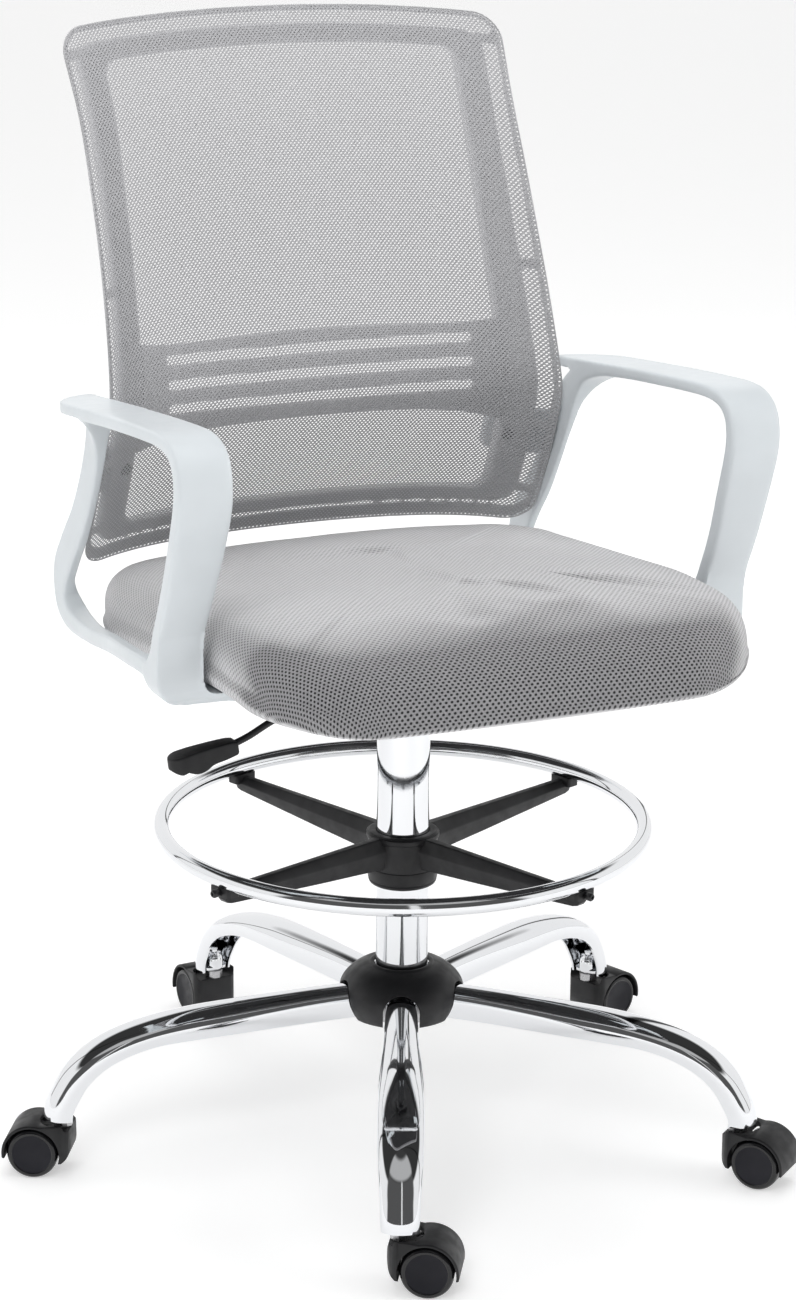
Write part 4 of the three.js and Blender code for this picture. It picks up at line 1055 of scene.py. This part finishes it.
# ------------------------------------- stage, camera and light
CAMERA_DISTANCE = 3.10837
CAMERA_AZIMUTH, CAMERA_ELEVATION, CAMERA_ROLL = radians(24.644), radians(15.257), radians(0.517)
back = Vector((-sin(CAMERA_AZIMUTH) * cos(CAMERA_ELEVATION), -cos(CAMERA_AZIMUTH) * cos(CAMERA_ELEVATION),
               sin(CAMERA_ELEVATION)))
lens = bpy.data.cameras.new("camera")
lens.lens = 92.89
lens.sensor_width = 36
lens.shift_x = -0.00546
lens.shift_y = -0.05408
lens.clip_start, lens.clip_end = 0.05, 50
camera = bpy.data.objects.new("camera", lens)
camera.location = AXIS + Vector((0, 0, 0.55)) + back * CAMERA_DISTANCE
camera.rotation_mode = "QUATERNION"
camera.rotation_quaternion = (-back).to_track_quat("-Z", "Y") @ Quaternion((0, 0, 1), CAMERA_ROLL)
scene.collection.objects.link(camera)
scene.camera = camera


def floor():
    """Wide pale floor that glows a little, like a light table."""
    segments = 96
    radii = (0, 0.5, 1, 2, 4, 8, 16, 30)
    vertices, faces = loft([[(r * cos(2 * pi * k / segments), r * sin(2 * pi * k / segments), 0)
                             for k in range(segments)] for r in radii])
    without_caps = faces[:-2]
    thing = raw_object("floor", (vertices, without_caps), Matrix.Identity(4))
    n = Nodes("floor_paint")
    n.set(Base_Color=n.mix(n.noise(3), (0.80, 0.80, 0.80), (0.82, 0.82, 0.82)), Roughness=0.9)
    n.shader.inputs["Emission Color"].default_value = (1, 1, 1, 1)
    reach = n.tree.nodes.new("ShaderNodeVectorMath")
    reach.operation = "LENGTH"
    n.tree.links.new(n.position(), reach.inputs[0])
    n.set(Emission_Strength=n.remap(reach.outputs["Value"], 0.5, 4.0, 0.40, 0.62))
    thing.data.materials.append(n.owner)


floor()


def area_light(name, place, aim, size, watts):
    """Lamp that lights the chair without showing in its chrome."""
    light = bpy.data.lights.new(name, "AREA")
    light.shape = "RECTANGLE"
    light.size, light.size_y = size
    light.energy = watts
    thing = bpy.data.objects.new(name, light)
    thing.location = Vector(place)
    thing.rotation_mode = "QUATERNION"
    thing.rotation_quaternion = (Vector(aim) - Vector(place)).to_track_quat("-Z", "Y")
    thing.visible_glossy = False
    thing.visible_camera = False
    scene.collection.objects.link(thing)


area_light("key", (-2.2, -2.6, 3.0), (0, 0, 0.6), (1.8, 1.8), 58)
area_light("fill", (2.8, -1.8, 2.0), (0, 0, 0.6), (2.0, 2.0), 26)
area_light("top", (0, 0.2, 3.4), (0, 0, 0.5), (2.6, 2.6), 52)
area_light("rear", (0.6, 3.0, 2.2), (0, 0, 0.8), (2.4, 1.4), 14)


def studio_world():
    """White light tent round the back and sides, dark overhead, open to a dark room in front."""
    n = Nodes("tent", bpy.data.worlds.new("tent"))
    where = n.tree.nodes.new("ShaderNodeTexCoord")
    split = n.tree.nodes.new("ShaderNodeSeparateXYZ")
    n.link(where.outputs["Generated"], split.inputs[0])
    math, ramp = n.math, n.remap
    x, y, z = split.outputs
    around = math("ARCTAN2", y, x)
    gap = math("ABSOLUTE", math("SINE", math("MULTIPLY", math("ADD", around, 0.35), 2.5)))
    tent = math("MULTIPLY", ramp(gap, 0.03, 0.10, 0.06, 1.0), ramp(z, 0.54, 0.64, 1.0, 0.04))
    # The open room lies towards -Y and a little to -X: dark up to the ceiling's grey panel, with one lamp.
    level = math("SQRT", math("SUBTRACT", 1.0001, math("MULTIPLY", z, z)))

    def towards(share_x, share_y):
        """How far the direction seen points along a level direction, from -1 to 1."""
        both = math("ADD", math("MULTIPLY", x, share_x), math("MULTIPLY", y, share_y))
        return math("DIVIDE", both, level)
    ahead, aside = towards(-0.417, -0.909), towards(0.909, -0.417)
    lamp = ramp(math("ABSOLUTE", math("SUBTRACT", aside, 0.10)), 0.03, 0.05, 0.8, 0.0)
    wall = math("MULTIPLY", ramp(z, 0.70, 0.78, 1.0, 0.0), math("ADD", lamp, 0.10))
    panel = math("MULTIPLY", ramp(z, 0.72, 0.80, 0.0, 0.5), ramp(z, 0.95, 0.98, 1.0, 0.1))
    share = ramp(ahead, 0.50, 0.62, 0.0, 1.0)
    room = math("MULTIPLY", math("ADD", wall, panel), share)
    rest = math("MULTIPLY", tent, math("SUBTRACT", 1.0, share))
    n.set(Color=(1, 1, 1, 1), Strength=math("ADD", room, rest))
    scene.world = n.owner


studio_world()
scene.view_settings.view_transform = "Standard"

bpy.context.view_layer.update()
